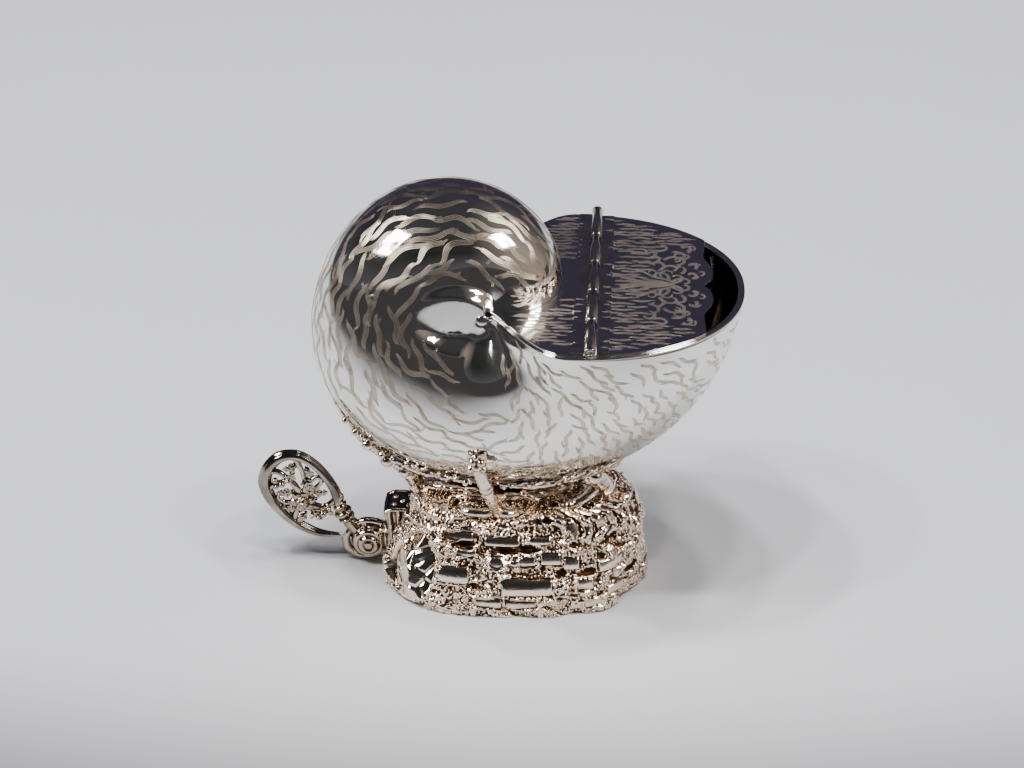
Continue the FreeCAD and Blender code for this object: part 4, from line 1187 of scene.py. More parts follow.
# fine cuts in the smooth faces
h = h + smooth_face * 0.05 * n_mid
h = np.clip(h, -2.6, 3.6)
# fade out under the saddle, keep the foot near the table
fade = smooth01((VV[0] * 0 + (v_mm[-1] - VV)) / 5.0)
h = h * fade * np.where(lean > 0.9, 0.75, 1.0)
P_ = B_ + lift_dir * h[..., None]
P_[..., 2] = np.maximum(P_[..., 2], 0.0)
P_[:, 0, 2] = 0.0


def box_blur(a, k):
    a = np.concatenate([a[-k:], a, a[:k]], 0)
    c = np.cumsum(np.concatenate([np.zeros((1, a.shape[1])), a], 0), 0)
    a = (c[2 * k + 1:] - c[:-2 * k - 1]) / (2 * k + 1)
    a = np.concatenate([np.repeat(a[:, :1], k, 1), a, np.repeat(a[:, -1:], k, 1)], 1)
    c = np.cumsum(np.concatenate([np.zeros((a.shape[0], 1)), a], 1), 1)
    return (c[:, 2 * k + 1:] - c[:, :-2 * k - 1]) / (2 * k + 1)


# recess: how sunken each point is; the cast material darkens it, partly as tarnish, partly as painted shade, less on
# the smooth faces
recess = np.clip((box_blur(h, 8) - h) / 1.1 + (box_blur(h, 2) - h) / 0.5 * 0.6, -0.3, 1) + 0.12
recess = np.where(smooth_face > 0.5, recess * 0.25, recess)

inner_n = NR // 4
inner_t = slice(0, NR, 4)


def shrunk(o2, d):
    w = o2 - np.array([11.0, 0.0])
    r = np.linalg.norm(w, axis=1, keepdims=True)
    return np.array([11.0, 0.0]) + w * (r - d) / r


in_rows = []
for z, d in ((0.0, 3.8), (6.5, 3.9), (13.0, 4.0), (20.0, 4.5), (26.0, 4.7), (31.0, 4.2), (33.6, 3.8)):
    in_rows.append(np.concatenate([shrunk(outline(z), d)[inner_t], np.full((inner_n, 1), z)], 1))
in_rows.append(np.concatenate([shrunk(outline(33.6), 16.0)[inner_t], np.full((inner_n, 1), 33.6)], 1))
IN = np.stack(in_rows, 1)
v_out = P_.reshape(-1, 3)
v_in = IN.reshape(-1, 3)
n_out = len(v_out)
V = np.concatenate([v_out, v_in, [[6.0, 0, 38.4], [11.0, 0, 33.6]]])
V[:, 2] -= 131.0
Q = [grid_quads(NR, NRow, wrap_i=True), grid_quads(inner_n, IN.shape[1], wrap_i=True, base=n_out)[:, ::-1]]
T = []
nin = IN.shape[1]
for k in range(inner_n):
    a = n_out + k * nin
    b = n_out + ((k + 1) % inner_n) * nin
    for m in range(4):
        o1, o2_ = (4 * k + m) % NR * NRow, (4 * k + m + 1) % NR * NRow
        T.append((o1, o2_, a if m < 2 else b))
        if m == 1:
            T.append((o2_, b, a))
    T.append((a + nin - 1, b + nin - 1, len(V) - 1))
for i in range(NR):
    T.append((i * NRow + NRow - 1, ((i + 1) % NR) * NRow + NRow - 1, len(V) - 2))
rock = mesh_object("rock", V, np.concatenate(Q), np.array(T), mat=CAST)
fix_normals(rock)
# painted shade: the inside of the hollow base and its underside carry a dark recess value
rec_all = np.concatenate([recess.ravel(), np.full(len(v_in) + 2, 0.8)])
set_attr(rock, "recess", rec_all)
piece(rock, "root", "cast_silver", "rock_base")

# beads of the crust, seated in it
rbd = np.random.default_rng(12)
e1 = np.roll(P_, -1, 0) - P_
e2 = np.concatenate([np.diff(P_, axis=1), np.zeros((NR, 1, 3))], 1)
nrm = np.cross(e1, e2)
size = np.linalg.norm(nrm, axis=-1)
nrm /= size[..., None] + 1e-12
nrm *= np.sign((nrm * lift_dir).sum(-1))[..., None]
chance = size * np.clip(crust, 0, 1) * (0.15 + 0.85 * patch) * (lean < 1.01) * fade
chance *= np.where(VV < 15, 1.25, 0.8)
chance = chance.ravel() / chance.sum()
pick = rbd.choice(NR * NRow, size=9000, replace=False, p=chance)
taken, beads_c, beads_r, beads_n = {}, [], [], []
Pf, Nf = P_.reshape(-1, 3), nrm.reshape(-1, 3)
for i in pick:
    r = rbd.uniform(0.42, 0.72)
    key = tuple(np.floor(Pf[i] / 1.25).astype(int))
    clash = False
    for dx in (-1, 0, 1):
        for dy in (-1, 0, 1):
            for dz in (-1, 0, 1):
                for (c0, r0) in taken.get((key[0] + dx, key[1] + dy, key[2] + dz), ()):
                    if np.sum((c0 - Pf[i]) ** 2) < (0.86 * (r + r0)) ** 2:
                        clash = True
    if clash or Pf[i][2] < 0.5:
        continue
    taken.setdefault(key, []).append((Pf[i], r))
    beads_c.append(Pf[i] + Nf[i] * (0.12 * r))
    beads_r.append(r)
    if len(beads_c) >= 3600:
        break
beads_c, beads_r = np.array(beads_c), np.array(beads_r)
beads_c[:, 2] = np.maximum(beads_c[:, 2], beads_r + 0.02)
ua = np.linspace(0, 2 * math.pi, 7)[:-1]
unit = [(0, 0, -1)]
for lat in (-0.72, 0.0, 0.72):
    unit += [(math.cos(lat) * math.cos(x + lat), math.cos(lat) * math.sin(x + lat), math.sin(lat)) for x in ua]
unit.append((0, 0, 1))
unit = np.array(unit)
tri = []
for k in range(6):
    m = (k + 1) % 6
    tri.append((0, 1 + m, 1 + k))
    for rr in range(2):
        a, b, c, d = 1 + rr * 6 + k, 1 + rr * 6 + m, 7 + rr * 6 + m, 7 + rr * 6 + k
        tri += [(a, b, c), (a, c, d)]
    tri.append((13 + k, 13 + m, 19))
tri = np.array(tri)
BV = (beads_c[:, None, :] + unit[None] * beads_r[:, None, None]).reshape(-1, 3)
BT = (tri[None] + (np.arange(len(beads_c)) * len(unit))[:, None, None]).reshape(-1, 3)
BV[:, 2] -= 131.0
half_x = beads_c[:, 1] < 0
o = mesh_object("rock_beads", BV, None, BT, mat=CAST)
piece(o, "root", "cast_silver")
print("rock", len(V), "beads", len(beads_c))

# ---------------------------------------------------------- cast coral, handle
def path_points(pts, rads, step):
    c = smooth_line(np.array(pts, float), 10)
    r = np.interp(np.linspace(0, len(pts) - 1, len(c)), np.arange(len(pts)), rads)
    s = np.concatenate([[0], np.cumsum(np.linalg.norm(np.diff(c, axis=0), axis=1))])
    n = max(5, int(s[-1] / step) + 1)
    u = np.linspace(0, s[-1], n)
    return np.stack([np.interp(u, s, c[:, k]) for k in range(3)], -1), np.interp(u, s, r)


def tube(pts, rads, step=0.8, n=14, wob=0.0, seed=0, section=None, hint=None):
    """Closed bar with rounded ends along a smooth path. Gives vertices and triangles."""
    c, r = path_points(pts, rads, step)
    t = np.gradient(c, axis=0)
    t /= np.linalg.norm(t, axis=1, keepdims=True) + 1e-12
    # a frame that does not twist
    x = np.zeros_like(c)
    h0 = np.array(hint, float) if hint is not None else np.array([0.0, -1.0, 0.0])
    if abs(h0 @ t[0]) > 0.9:
        h0 = np.array([0.0, 0.0, 1.0])
    for i in range(len(c)):
        h0 = h0 - t[i] * (h0 @ t[i])
        h0 /= np.linalg.norm(h0)
        x[i] = h0
    y = np.cross(t, x)
    if wob:
        r = r * (1 + wob * fbm(c, 3.2, 2, seed))
    a = np.linspace(0, 2 * math.pi, n, endpoint=False)
    sec = np.ones(n) if section is None else section(a)
    rings = []
    for k in (88, 66, 44, 22):
        q = math.radians(k)
        rings.append((c[0] - t[0] * r[0] * math.sin(q), x[0], y[0], r[0] * math.cos(q)))
    for i in range(len(c)):
        rings.append((c[i], x[i], y[i], r[i]))
    for k in (22, 44, 66, 88):
        q = math.radians(k)
        rings.append((c[-1] + t[-1] * r[-1] * math.sin(q), x[-1], y[-1], r[-1] * math.cos(q)))
    V = np.concatenate([p + (np.cos(a)[:, None] * ex + np.sin(a)[:, None] * ey) * (rr * sec)[:, None]
                        for p, ex, ey, rr in rings])
    m = len(rings)
    quads = grid_quads(m, n, wrap_j=True)
    T = np.concatenate([quads[:, [0, 1, 2]], quads[:, [0, 2, 3]]])
    V = np.concatenate([V, [V[:n].mean(0)], [V[-n:].mean(0)]])
    j = np.arange(n)
    k = (j + 1) % n
    T = np.concatenate([T, np.stack([np.full(n, m * n), k, j], -1),
                        np.stack([np.full(n, m * n + 1), (m - 1) * n + j, (m - 1) * n + k], -1)])
    return V, T


def ball(p, r, n=12, squash=(1, 1, 1)):
    u = np.linspace(0, math.pi, n // 2 + 1)[1:-1]
    a = np.linspace(0, 2 * math.pi, n, endpoint=False)
    rings = [[(math.sin(q) * math.cos(b), math.sin(q) * math.sin(b), math.cos(q)) for b in a] for q in u]
    V = np.array([v for ring_ in rings for v in ring_] + [(0, 0, 1), (0, 0, -1)]) * r * np.array(squash) + np.array(p)
    m = len(u)
    quads = grid_quads(m, n, wrap_j=True)
    T = np.concatenate([quads[:, [0, 1, 2]], quads[:, [0, 2, 3]]])
    j = np.arange(n)
    k = (j + 1) % n
    T = np.concatenate([T, np.stack([np.full(n, m * n), k, j], -1),
                        np.stack([np.full(n, m * n + 1), (m - 1) * n + j, (m - 1) * n + k], -1)])
    return V, T


def blade(root, tip, up, width, thick=0.9, lobes=3.0, bend=0.0, cup=0.25, n=26, m=13):
    """A lobed leaf: closed, with a raised midrib and a curled length."""
    root, tip, up = (np.array(v, float) for v in (root, tip, up))
    way = tip - root
    L = np.linalg.norm(way)
    way /= L
    up = up - way * (up @ way)
    up /= np.linalg.norm(up)
    across = np.cross(up, way)
    s = np.linspace(0, 1, n)
    half = width / 2 * np.sin(np.pi * s ** 0.8) ** 0.75 * (1 + 0.28 * np.cos(2 * np.pi * lobes * s))
    half = np.maximum(half, 0.16)
    t = np.linspace(-1, 1, m)
    S_, T_ = np.meshgrid(s, t, indexing="ij")
    H = half[:, None] * T_
    mid_ = root + way * (s[:, None] * L) + up * (bend * np.sin(np.pi * s)[:, None])
    rise = cup * np.abs(H) ** 1.2 + 0.35 * np.exp(-(T_ / 0.16) ** 2) * (1 - 0.6 * S_) + 0.12 * np.cos(
        2 * np.pi * (lobes * 2 * S_ - np.abs(T_)))
    th = thick / 2 * np.sqrt(np.clip(1 - np.abs(T_) ** 2.5, 0.02, 1)) * (0.4 + 0.6 * np.sin(np.pi * np.clip(S_ * 1.04, 0, 1)) ** 0.5)
    top = mid_[:, None] + across * H[..., None] + up * (rise + th)[..., None]
    low = mid_[:, None] + across * H[..., None] + up * (rise - th)[..., None]
    V = np.concatenate([top.reshape(-1, 3), low.reshape(-1, 3)])
    Qa = grid_quads(n, m)
    Qb = grid_quads(n, m, base=n * m)[:, ::-1]
    ring_ = np.concatenate([np.arange(m), np.arange(1, n) * m + m - 1, (n - 1) * m + np.arange(m - 2, -1, -1),
                            np.arange(n - 2, 0, -1) * m])
    nx_ring = np.roll(ring_, -1)
    side_q = np.stack([ring_, ring_ + n * m, nx_ring + n * m, nx_ring], -1)
    quads = np.concatenate([Qa, Qb, side_q])
    return V, np.concatenate([quads[:, [0, 1, 2]], quads[:, [0, 2, 3]]])


def form(p):
    """Signed measure of the shell's outside: negative inside it."""
    x, y, z = p[:, 0], p[:, 1], p[:, 2]
    th = np.mod(np.arctan2(-z, x), 2 * math.pi)
    r = np.hypot(x, z)
    R, W = knots(RAD, RADM, th), knots(WID, WIDM, th)
    k = np.clip((r / R - 0.334) / 0.666, 0, 3)
    return (np.abs(y) / W) ** 2.1 + k ** 2.15 - 1


def seat(p, sink=0.3):
    """Moves points that lie deeper than sink inside the shell out to that depth."""
    p = p.copy()
    todo = np.nonzero(form(p) < 0.04)[0]
    for _ in range(6):
        if not len(todo):
            break
        q = p[todo]
        g0 = form(q)
        e = 0.02
        grad = np.stack([form(q + np.eye(3)[k] * e) - form(q - np.eye(3)[k] * e) for k in range(3)], -1) / (2 * e)
        gl = np.linalg.norm(grad, axis=1) + 1e-9
        dist = g0 / gl
        push = np.clip(-sink - dist, 0, 1.2)
        q = q + grad / gl[:, None] * push[:, None]
        p[todo] = q
        todo = todo[push > 0.01]
    return p


def fused(name, parts, voxel, mat, lump=0.0, lump_size=2.0, grain=0.0, seed=0, smooth_n=2, on_the_shell=True,
          floor_z=None, sink=0.3):
    """One skin over closed parts that run into each other, with a cast surface."""
    V, T, n = [], [], 0
    for v, t in parts:
        V.append(v)
        T.append(t + n)
        n += len(v)
    tmp = mesh_object(name + "_raw", np.concatenate(V), None, np.concatenate(T))
    fix_normals(tmp)
    md = tmp.modifiers.new("skin", "REMESH")
    md.mode = "VOXEL"
    md.voxel_size = voxel * MM
    md.adaptivity = 0.0
    sm = tmp.modifiers.new("even", "SMOOTH")
    sm.factor = 0.5
    sm.iterations = smooth_n
    dg = bpy.context.evaluated_depsgraph_get()
    me = bpy.data.meshes.new_from_object(tmp.evaluated_get(dg))
    old = tmp.data
    bpy.data.objects.remove(tmp)
    bpy.data.meshes.remove(old)
    co = np.zeros(len(me.vertices) * 3, np.float32)
    me.vertices.foreach_get("co", co)
    no = np.zeros(len(me.vertices) * 3, np.float32)
    me.vertices.foreach_get("normal", no)
    p = co.reshape(-1, 3).astype(float) / MM - A
    nn = no.reshape(-1, 3).astype(float)
    hgt = np.zeros(len(p))
    if lump:
        f, _, _ = cells(p, lump_size, seed + 5)
        hgt = hgt + lump * (np.sqrt(np.clip(1 - (f / 0.75) ** 2, 0, 1)) - 0.4)
        hgt = hgt + 0.5 * lump * fbm(p, lump_size * 2.2, 2, seed)
    if grain:
        f, _, _ = cells(p, 0.9, seed + 9)
        hgt = hgt + grain * (0.5 - f)
    p = p + nn * hgt[:, None]
    if on_the_shell:
        p = seat(p, sink)
    if floor_z is not None:
        p[:, 2] = np.maximum(p[:, 2], floor_z)
    me.vertices.foreach_set("co", ((p + A) * MM).astype(np.float32).ravel())
    me.update()
    me.name = name
    o = bpy.data.objects.new(name, me)
    bpy.context.scene.collection.objects.link(o)
    me.materials.clear()
    me.materials.append(mat)
    me.polygons.foreach_set("use_smooth", np.ones(len(me.polygons), bool))
    # how sunken each point is, from the mean of its neighbours: the recess value that the materials darken, partly as
    # tarnish, partly as painted shade
    ed = np.zeros(len(me.edges) * 2, np.int32)
    me.edges.foreach_get("vertices", ed)
    ed = ed.reshape(-1, 2)
    q = p.copy()
    cnt = np.bincount(ed.ravel(), minlength=len(p)).astype(float)[:, None] + 1e-9
    for _ in range(5):
        acc = np.zeros_like(q)
        for k in range(3):
            acc[:, k] = (np.bincount(ed[:, 0], q[ed[:, 1], k], len(p)) + np.bincount(ed[:, 1], q[ed[:, 0], k], len(p)))
        q = acc / cnt
    hollow_ = ((q - p) * nn).sum(1) / (voxel * 1.1)
    set_attr(o, "recess", np.clip(hollow_, -0.25, 1.0) + 0.15)
    return o


def buds(centres, r, seed):
    rr = np.random.default_rng(seed)
    out = []
    for p in centres:
        out.append(ball(np.array(p) + rr.normal(0, 0.15, 3), r * rr.uniform(0.75, 1.2), 12))
    return out


P3 = lambda x, y, z: np.array([x, y, z], float)
# rear branch and the twig that runs from it under the shell
rear = [tube([on_shell(141, .965, .2), on_shell(136, .975, .5), on_shell(131, .985, .9), on_shell(126, .985, 1.8),
              on_shell(121, .99, 2.5), on_shell(115.5, .992, 3.2), on_shell(110.5, .994, 4.8), P3(-26.4, -2.6, -95.5)],
             [0.5, 0.8, 1.3, 2.0, 2.6, 3.0, 3.3, 4.0], wob=0.22, seed=3)]
rear += [ball(on_shell(d, q, l), r, 14) for d, q, l, r in (
    (133.5, .968, 1.4, 1.25), (129.2, .962, 1.8, 1.5), (124.0, .968, 2.4, 2.5), (119.5, .958, 2.8, 1.6),
    (117.0, .972, 3.4, 2.9), (111.8, .968, 4.4, 2.6), (113.4, .952, 3.0, 1.6), (127.0, .958, 1.4, 1.1))]
rear += [tube([on_shell(116, .955, 1.6), on_shell(110, .935, 1.5), on_shell(104, .918, 1.3), on_shell(98, .905, 1.1),
               on_shell(93, .896, .8)], [1.8, 1.7, 1.5, 1.3, 1.0], wob=0.3, seed=8)]
rear += [tube([P3(-26.0, -4.0, -93.0), P3(-20.0, -7.5, -89.6), P3(-12.0, -9.6, -88.8), P3(-4.0, -10.6, -88.6)],
              [2.2, 1.7, 1.5, 1.0], wob=0.2, seed=18)]
rear += buds([on_shell(d, q, 1.7) for d, q in ((112.5, .925), (109.0, .912), (106.0, .932), (103.5, .902), (100.6, .921),
                                              (98.0, .888), (95.4, .905), (107.6, .922), (101.8, .910), (94.0, .886))], 1.15, 4)
for d, q, d2, q2, w in ((111, .93, 107, .895, 2.6), (106, .92, 102.5, .885, 2.6), (101, .91, 97.4, .878, 2.4),
                        (109, .945, 105, .96, 2.2)):
    a0, b0 = on_shell(d, q, 1.2), on_shell(d2, q2, 0.9)
    rear.append(blade(a0, b0, shell_nrm(math.radians(d), q, -1).reshape(3), w, 0.9, 2.0, 0.3))
o = fused("coral_rear", rear, 0.30, CORAL, 0.22, 1.9, 0.10, 2)
piece(o, "root", "cast_silver", "branch_left", "left_twig")

# upright at the front, its mirror at the back
for s, tag in ((-1, "front"), (1, "back")):
    up = [tube([P3(5.4, s * 19.0, -93.6), P3(4.2, s * 22.6, -88.0), P3(2.4, s * 26.0, -80.5), P3(0.6, s * 28.2, -74.0),
                on_shell(91.8, .755, 1.4, s)], [2.7, 2.5, 2.5, 2.6, 2.3], n=18)]
    up += [tube([P3(12.4, s * 17.8, -92.0), P3(8.2, s * 19.4, -91.5), P3(3.0, s * 21.0, -91.2), P3(-2.6, s * 21.8, -91.2),
                 P3(-7.6, s * 20.8, -91.4), P3(-9.8, s * 17.8, -91.6), P3(-7.0, s * 15.4, -91.8), P3(-3.4, s * 16.6, -91.8)],
                [0.9, 1.6, 2.0, 1.8, 1.7, 1.6, 1.4, 0.9], wob=0.12, seed=5)]
    up += [tube([P3(4.4, s * 21.0, -90.6), P3(8.6, s * 22.2, -91.2), P3(12.0, s * 20.4, -91.8), P3(11.6, s * 17.6, -91.8)],
                [1.9, 1.7, 1.4, 0.9])]
    up += [ball(v, r, 14) for v, r in (
        (on_shell(91.8, .725, 1.9, s), 2.1), (on_shell(93.4, .70, 1.8, s), 1.6), (on_shell(90.2, .695, 1.9, s), 1.7),
        (on_shell(92.2, .672, 1.5, s), 1.35), (on_shell(93.9, .745, 2.2, s), 1.7), (on_shell(89.6, .742, 1.8, s), 1.3),
        (P3(1.0, s * 27.9, -75.2), 2.95))]
    up += [blade(on_shell(90.4, .715, 1.2, s), on_shell(84.4, .690, 0.5, s), shell_nrm(math.radians(88), .70, s).reshape(3),
                 4.6, 0.9, 2.5, 0.4),
           blade(on_shell(92.6, .70, 1.2, s), on_shell(95.8, .655, 0.4, s), shell_nrm(math.radians(93), .68, s).reshape(3),
                 3.4, 0.9, 2.0, 0.3),
           blade(on_shell(90.8, .69, 1.2, s), on_shell(88.2, .635, 0.4, s), shell_nrm(math.radians(90), .66, s).reshape(3),
                 3.2, 0.9, 2.0, 0.3)]
    if s < 0:
        up += [ball(P3(-7.2, -12.4, -89.4), 2.1, 14), ball(P3(14.6, -12.0, -88.6), 1.9, 14),
               tube([P3(-14.0, -12.6, -91.4), P3(-7.2, -12.6, -90.2), P3(2.0, -13.0, -90.0), P3(14.6, -12.2, -89.4),
                     P3(20.0, -12.0, -91.4)], [1.2, 1.5, 1.3, 1.4, 1.1], wob=0.25, seed=6)]
    o = fused("coral_" + tag, up, 0.28, CORAL, 0.07, 1.8, 0.0, 7 if s < 0 else 17, 3)
    piece(o, "root", "cast_silver", "branch_" + tag, tag + "_leaf")

# right upright with its leaf spray
rt = [tube([P3(47.0, -4.0, -94.4), P3(46.6, -6.0, -90.0), P3(45.0, -8.5, -84.5), on_shell(62, .955, 2.0)],
           [4.2, 3.6, 3.3, 3.0], wob=0.12, seed=21),
      tube([P3(33.0, -15.0, -91.6), P3(37.0, -13.4, -89.6), P3(41.4, -11.0, -86.4), P3(44.6, -8.8, -82.6)],
           [1.9, 2.5, 2.5, 2.2], n=16),
      ball(P3(32.6, -15.2, -91.2), 2.4, 14), ball(P3(46.4, -5.0, -88.5), 4.0, 16), ball(on_shell(60, .94, 2.2), 3.2, 14)]
rt += [tube([on_shell(71, .925, 1.2), on_shell(76, .915, 1.4), on_shell(81, .905, 1.2), on_shell(86, .90, .8)],
            [1.6, 1.6, 1.3, .8], wob=0.3, seed=22)]
rt += buds([on_shell(d, q, 1.6) for d, q in ((72, .90), (74.6, .925), (77.2, .898), (79.6, .918), (82.2, .893), (84.6, .91),
                                           (69.4, .915), (66.8, .885), (63.5, .862))], 1.15, 9)
for d, q, d2, q2, w in ((70, .905, 65.6, .868, 3.4), (67.6, .90, 62.8, .862, 3.8), (65, .895, 59.6, .862, 3.8),
                        (62.4, .90, 56.4, .872, 3.8), (60, .91, 53.2, .885, 3.8), (57.6, .918, 49.8, .905, 3.6),
                        (68, .925, 62.4, .945, 3.2), (63.6, .925, 57.0, .945, 3.4), (59, .93, 51.4, .94, 3.4),
                        (76, .905, 72.4, .875, 2.6), (81, .90, 77.4, .872, 2.6)):
    rt.append(blade(on_shell(d, q, 1.3), on_shell(d2, q2, 0.7), shell_nrm(math.radians(d), q, -1).reshape(3), w, 0.95, 2.5, 0.5))
o = fused("coral_right", rt, 0.30, CORAL, 0.16, 1.9, 0.08, 12)
piece(o, "root", "cast_silver", "branch_right", "right_leaf", "right_twig")

# saddle: a waisted oval seat with two beads round it
prof = [(1.00, 0.0), (1.02, 0.6), (1.0, 1.4), (0.955, 2.0), (0.915, 2.8), (0.885, 3.8), (0.875, 5.0), (0.885, 6.2),
        (0.915, 7.2), (0.955, 8.0), (0.985, 8.4), (1.0, 9.0), (0.985, 9.6), (0.95, 10.0), (0.955, 11.0), (0.97, 13.0)]
na = 220
ea = np.linspace(0, 2 * math.pi, na, endpoint=False)
rings = []
for k, z in smooth_line([(a_, b_) for a_, b_ in prof], 4):
    fl = 1 + 0.012 * np.sin(26 * ea + 0.35 * z) * (1 if 2.0 < z < 8.0 else 0.2)
    rings.append(np.stack([6 + 26.0 * k * fl * np.cos(ea), 11.0 * k * fl * np.sin(ea), np.full(na, z - 93.0)], -1))
sad = ring_stack("saddle", rings, CORAL)
co = np.zeros(len(sad.data.vertices) * 3, np.float32)
sad.data.vertices.foreach_get("co", co)
p = seat(co.reshape(-1, 3).astype(float) / MM - A, 0.25)
sad.data.vertices.foreach_set("co", ((p + A) * MM).astype(np.float32).ravel())
zrel = p[:, 2] + 93.0
# painted shade: darkest round the waist under the shell, as a shadowed gap, lighter towards both beads
set_attr(sad, "recess", np.clip(0.75 - np.abs(zrel - 5.0) / 5.5, 0.1, 0.8))
sad.data.update()
piece(sad, "root", "cast_silver", "support_saddle")

# handle: the loop with a fluted section, its tail running free
LOOP = [(-59.9, -103.2), (-61.6, -97.2), (-65.8, -89.9), (-70.0, -85.2), (-74.4, -82.5),
        (-78.8, -82.1), (-83.2, -83.8), (-87.0, -88.4), (-88.9, -94.6), (-88.0, -100.2),
        (-85.2, -105.8), (-80.2, -112.0), (-74.6, -116.6), (-67.6, -119.6), (-60.4, -120.2)]
LOOPR = [2.2, 2.1, 2.1, 2.1, 2.2, 2.3, 2.5, 2.6, 2.7, 2.7, 2.6, 2.4, 2.1, 1.6, 0.9]


def fluted(a):
    d = np.abs(np.angle(np.exp(1j * (a[:, None] - np.radians([58.0, -58.0])[None]))))
    d0 = np.abs(np.angle(np.exp(1j * a)))
    return 1 - 0.20 * np.exp(-(d.min(1) / 0.20) ** 2) + 0.03 * np.exp(-(d0 / 0.3) ** 2)


v, t = tube([(x, 0, z) for x, z in LOOP], LOOPR, step=0.55, n=40, section=fluted)
loop = mesh_object("handle_bow", v, None, t, mat=BOW_PAINTED_DARK)
fix_normals(loop)
set_attr(loop, "recess", 0.18 + 0.25 * fbm(v, 9.0, 2, 5))
piece(loop, "root", "cast_silver", "handle_loop")

fl = []
FC = P3(-74.0, 0, -103.4)
for i in range(6):
    a = math.radians(60 * i + 12)
    d = np.array([math.cos(a), 0, math.sin(a)])
    fl.append(ball(FC + d * 3.3 + P3(0, -0.6, 0), 2.2, 16, (1, 0.72, 1)))
    fl.append(blade(FC + d * 1.5 + P3(0, -1.2, 0), FC + d * 6.2 + P3(0, -0.2, 0), (0, -1, 0), 3.8, 1.1, 1.0, 0.7, 0.12))
fl.append(ball(FC + P3(0, -1.6, 0), 2.7, 20, (1, 0.9, 1)))
for i in range(7):
    a = math.radians(360 * i / 7.0)
    fl.append(ball(FC + P3(1.75 * math.cos(a), -3.1, 1.75 * math.sin(a)), 0.62, 10))
fl.append(ball(FC + P3(0, -3.9, 0), 0.8, 10))
for pts, r in (([(-74.0, 0, -103.4), (-76.5, -.4, -97.0), (-80.6, -.6, -92.0), (-83.4, -.4, -90.0), (-86.4, 0, -90.4)],
                [1.6, 1.3, 1.1, 1.2, 1.3]),
               ([(-74.0, 0, -103.4), (-72.4, -.4, -96.4), (-73.6, -.4, -89.6), (-76.0, 0, -84.0)], [1.7, 1.4, 1.2, 1.4]),
               ([(-74.0, 0, -103.4), (-68.4, -.2, -106.4), (-64.6, -.2, -106.0), (-60.6, 0, -102.6)], [1.7, 1.5, 1.3, 1.4]),
               ([(-74.0, 0, -103.4), (-76.6, -.2, -109.0), (-78.2, 0, -113.0)], [1.7, 1.4, 1.4]),
               ([(-72.0, 0, -101.0), (-68.4, -.6, -97.0), (-66.2, -.8, -93.8), (-67.4, -.9, -91.6), (-69.4, -1.0, -92.6)],
                [1.3, 1.1, 0.9, 0.8, 1.0]),
               ([(-76.5, 0, -104.0), (-80.6, -.6, -104.6), (-83.6, -.8, -102.6), (-83.2, -1, -99.8)], [1.3, 1.1, 0.9, 0.8]),
               ([(-87.4, 0, -98.0), (-84.4, -.6, -95.8), (-81.6, -.8, -94.4), (-78.6, -.8, -93.6)], [1.3, 1.2, 0.9, 0.7])):
    fl.append(tube(pts, r, n=12, wob=0.08, seed=4))
for a0, b0, w in (((-73.2, -.4, -90.8), (-69.6, -1.4, -98.4), 4.6), ((-75.0, -.3, -86.2), (-81.6, -1.2, -88.4), 3.6),
                  ((-70.0, -.4, -99.0), (-63.6, -1.0, -98.6), 3.8), ((-77.4, -.4, -99.0), (-84.4, -1.0, -99.8), 3.6),
                  ((-71.0, -.3, -106.0), (-66.4, -1.1, -112.4), 4.0), ((-77.0, -.3, -107.6), (-83.2, -.8, -106.0), 3.2),
                  ((-66.0, -.3, -104.6), (-62.0, -.8, -110.4), 3.0), ((-78.6, -.3, -94.6), (-77.2, -1.2, -87.8), 3.4),
                  ((-72.6, -.3, -108.6), (-76.4, -.9, -114.2), 3.0), ((-69.2, -.4, -92.2), (-72.4, -1.0, -86.2), 3.2)):
    fl.append(blade(a0, b0, (0, -1, 0.12), w, 1.0, 2.5, 0.8, 0.16))
for p_, r in (((-84.4, -2.4, -93.0), 1.35), ((-81.8, -2.6, -94.6), 1.35), ((-84.0, -2.3, -96.0), 1.2),
              ((-65.8, -2.6, -108.4), 1.5), ((-67.8, -2.2, -110.6), 1.0), ((-63.6, -2.0, -106.4), 1.0),
              ((-79.8, -2.2, -93.4), 0.9), ((-82.2, -1.9, -101.4), 0.9), ((-70.6, -2.2, -110.2), 0.95)):
    fl.append(ball(p_, r, 14))
o = fused("handle_foliage", fl, 0.22, HANDLE_PAINTED_DARK, 0.05, 1.4, 0.0, 15, 2, on_the_shell=False)
piece(o, "root", "cast_silver", "handle_flower", "handle_leaf", "handle_beads")

# neck with its knop, the scrolled boss and the collar
nk = [tube([(-59.4, 0, -101.6), (-59.9, 0, -103.2), (-58.4, 0, -108.4), (-55.4, 0, -113.6), (-51.4, 0, -118.0)],
           [2.0, 2.15, 2.4, 2.8, 3.3], n=24)]
for k, (c_, rr, tr) in enumerate((((-58.2, 0, -108.8), 2.7, 1.15), ((-56.9, 0, -111.2), 2.9, 0.7),
                                  ((-59.4, 0, -105.6), 2.35, 0.75))):
    ax = np.array([0.42, 0, -0.90])
    ax /= np.linalg.norm(ax)
    e1_ = np.cross(ax, [0, 1.0, 0])
    e1_ /= np.linalg.norm(e1_)
    e2_ = np.cross(ax, e1_)
    u = np.linspace(0, 2 * math.pi, 40, endpoint=False)
    w = np.linspace(0, 2 * math.pi, 14, endpoint=False)
    U2, W2 = np.meshgrid(u, w, indexing="ij")
    rad = rr + tr * np.cos(W2)
    vv = (np.array(c_) + e1_ * (rad * np.cos(U2))[..., None] + e2_ * (rad * np.sin(U2))[..., None]
          + ax * (tr * np.sin(W2))[..., None]).reshape(-1, 3)
    qq = grid_quads(40, 14, wrap_i=True, wrap_j=True)
    nk.append((vv, np.concatenate([qq[:, [0, 1, 2]], qq[:, [0, 2, 3]]])))
BC = P3(-47.8, 0, -121.0)
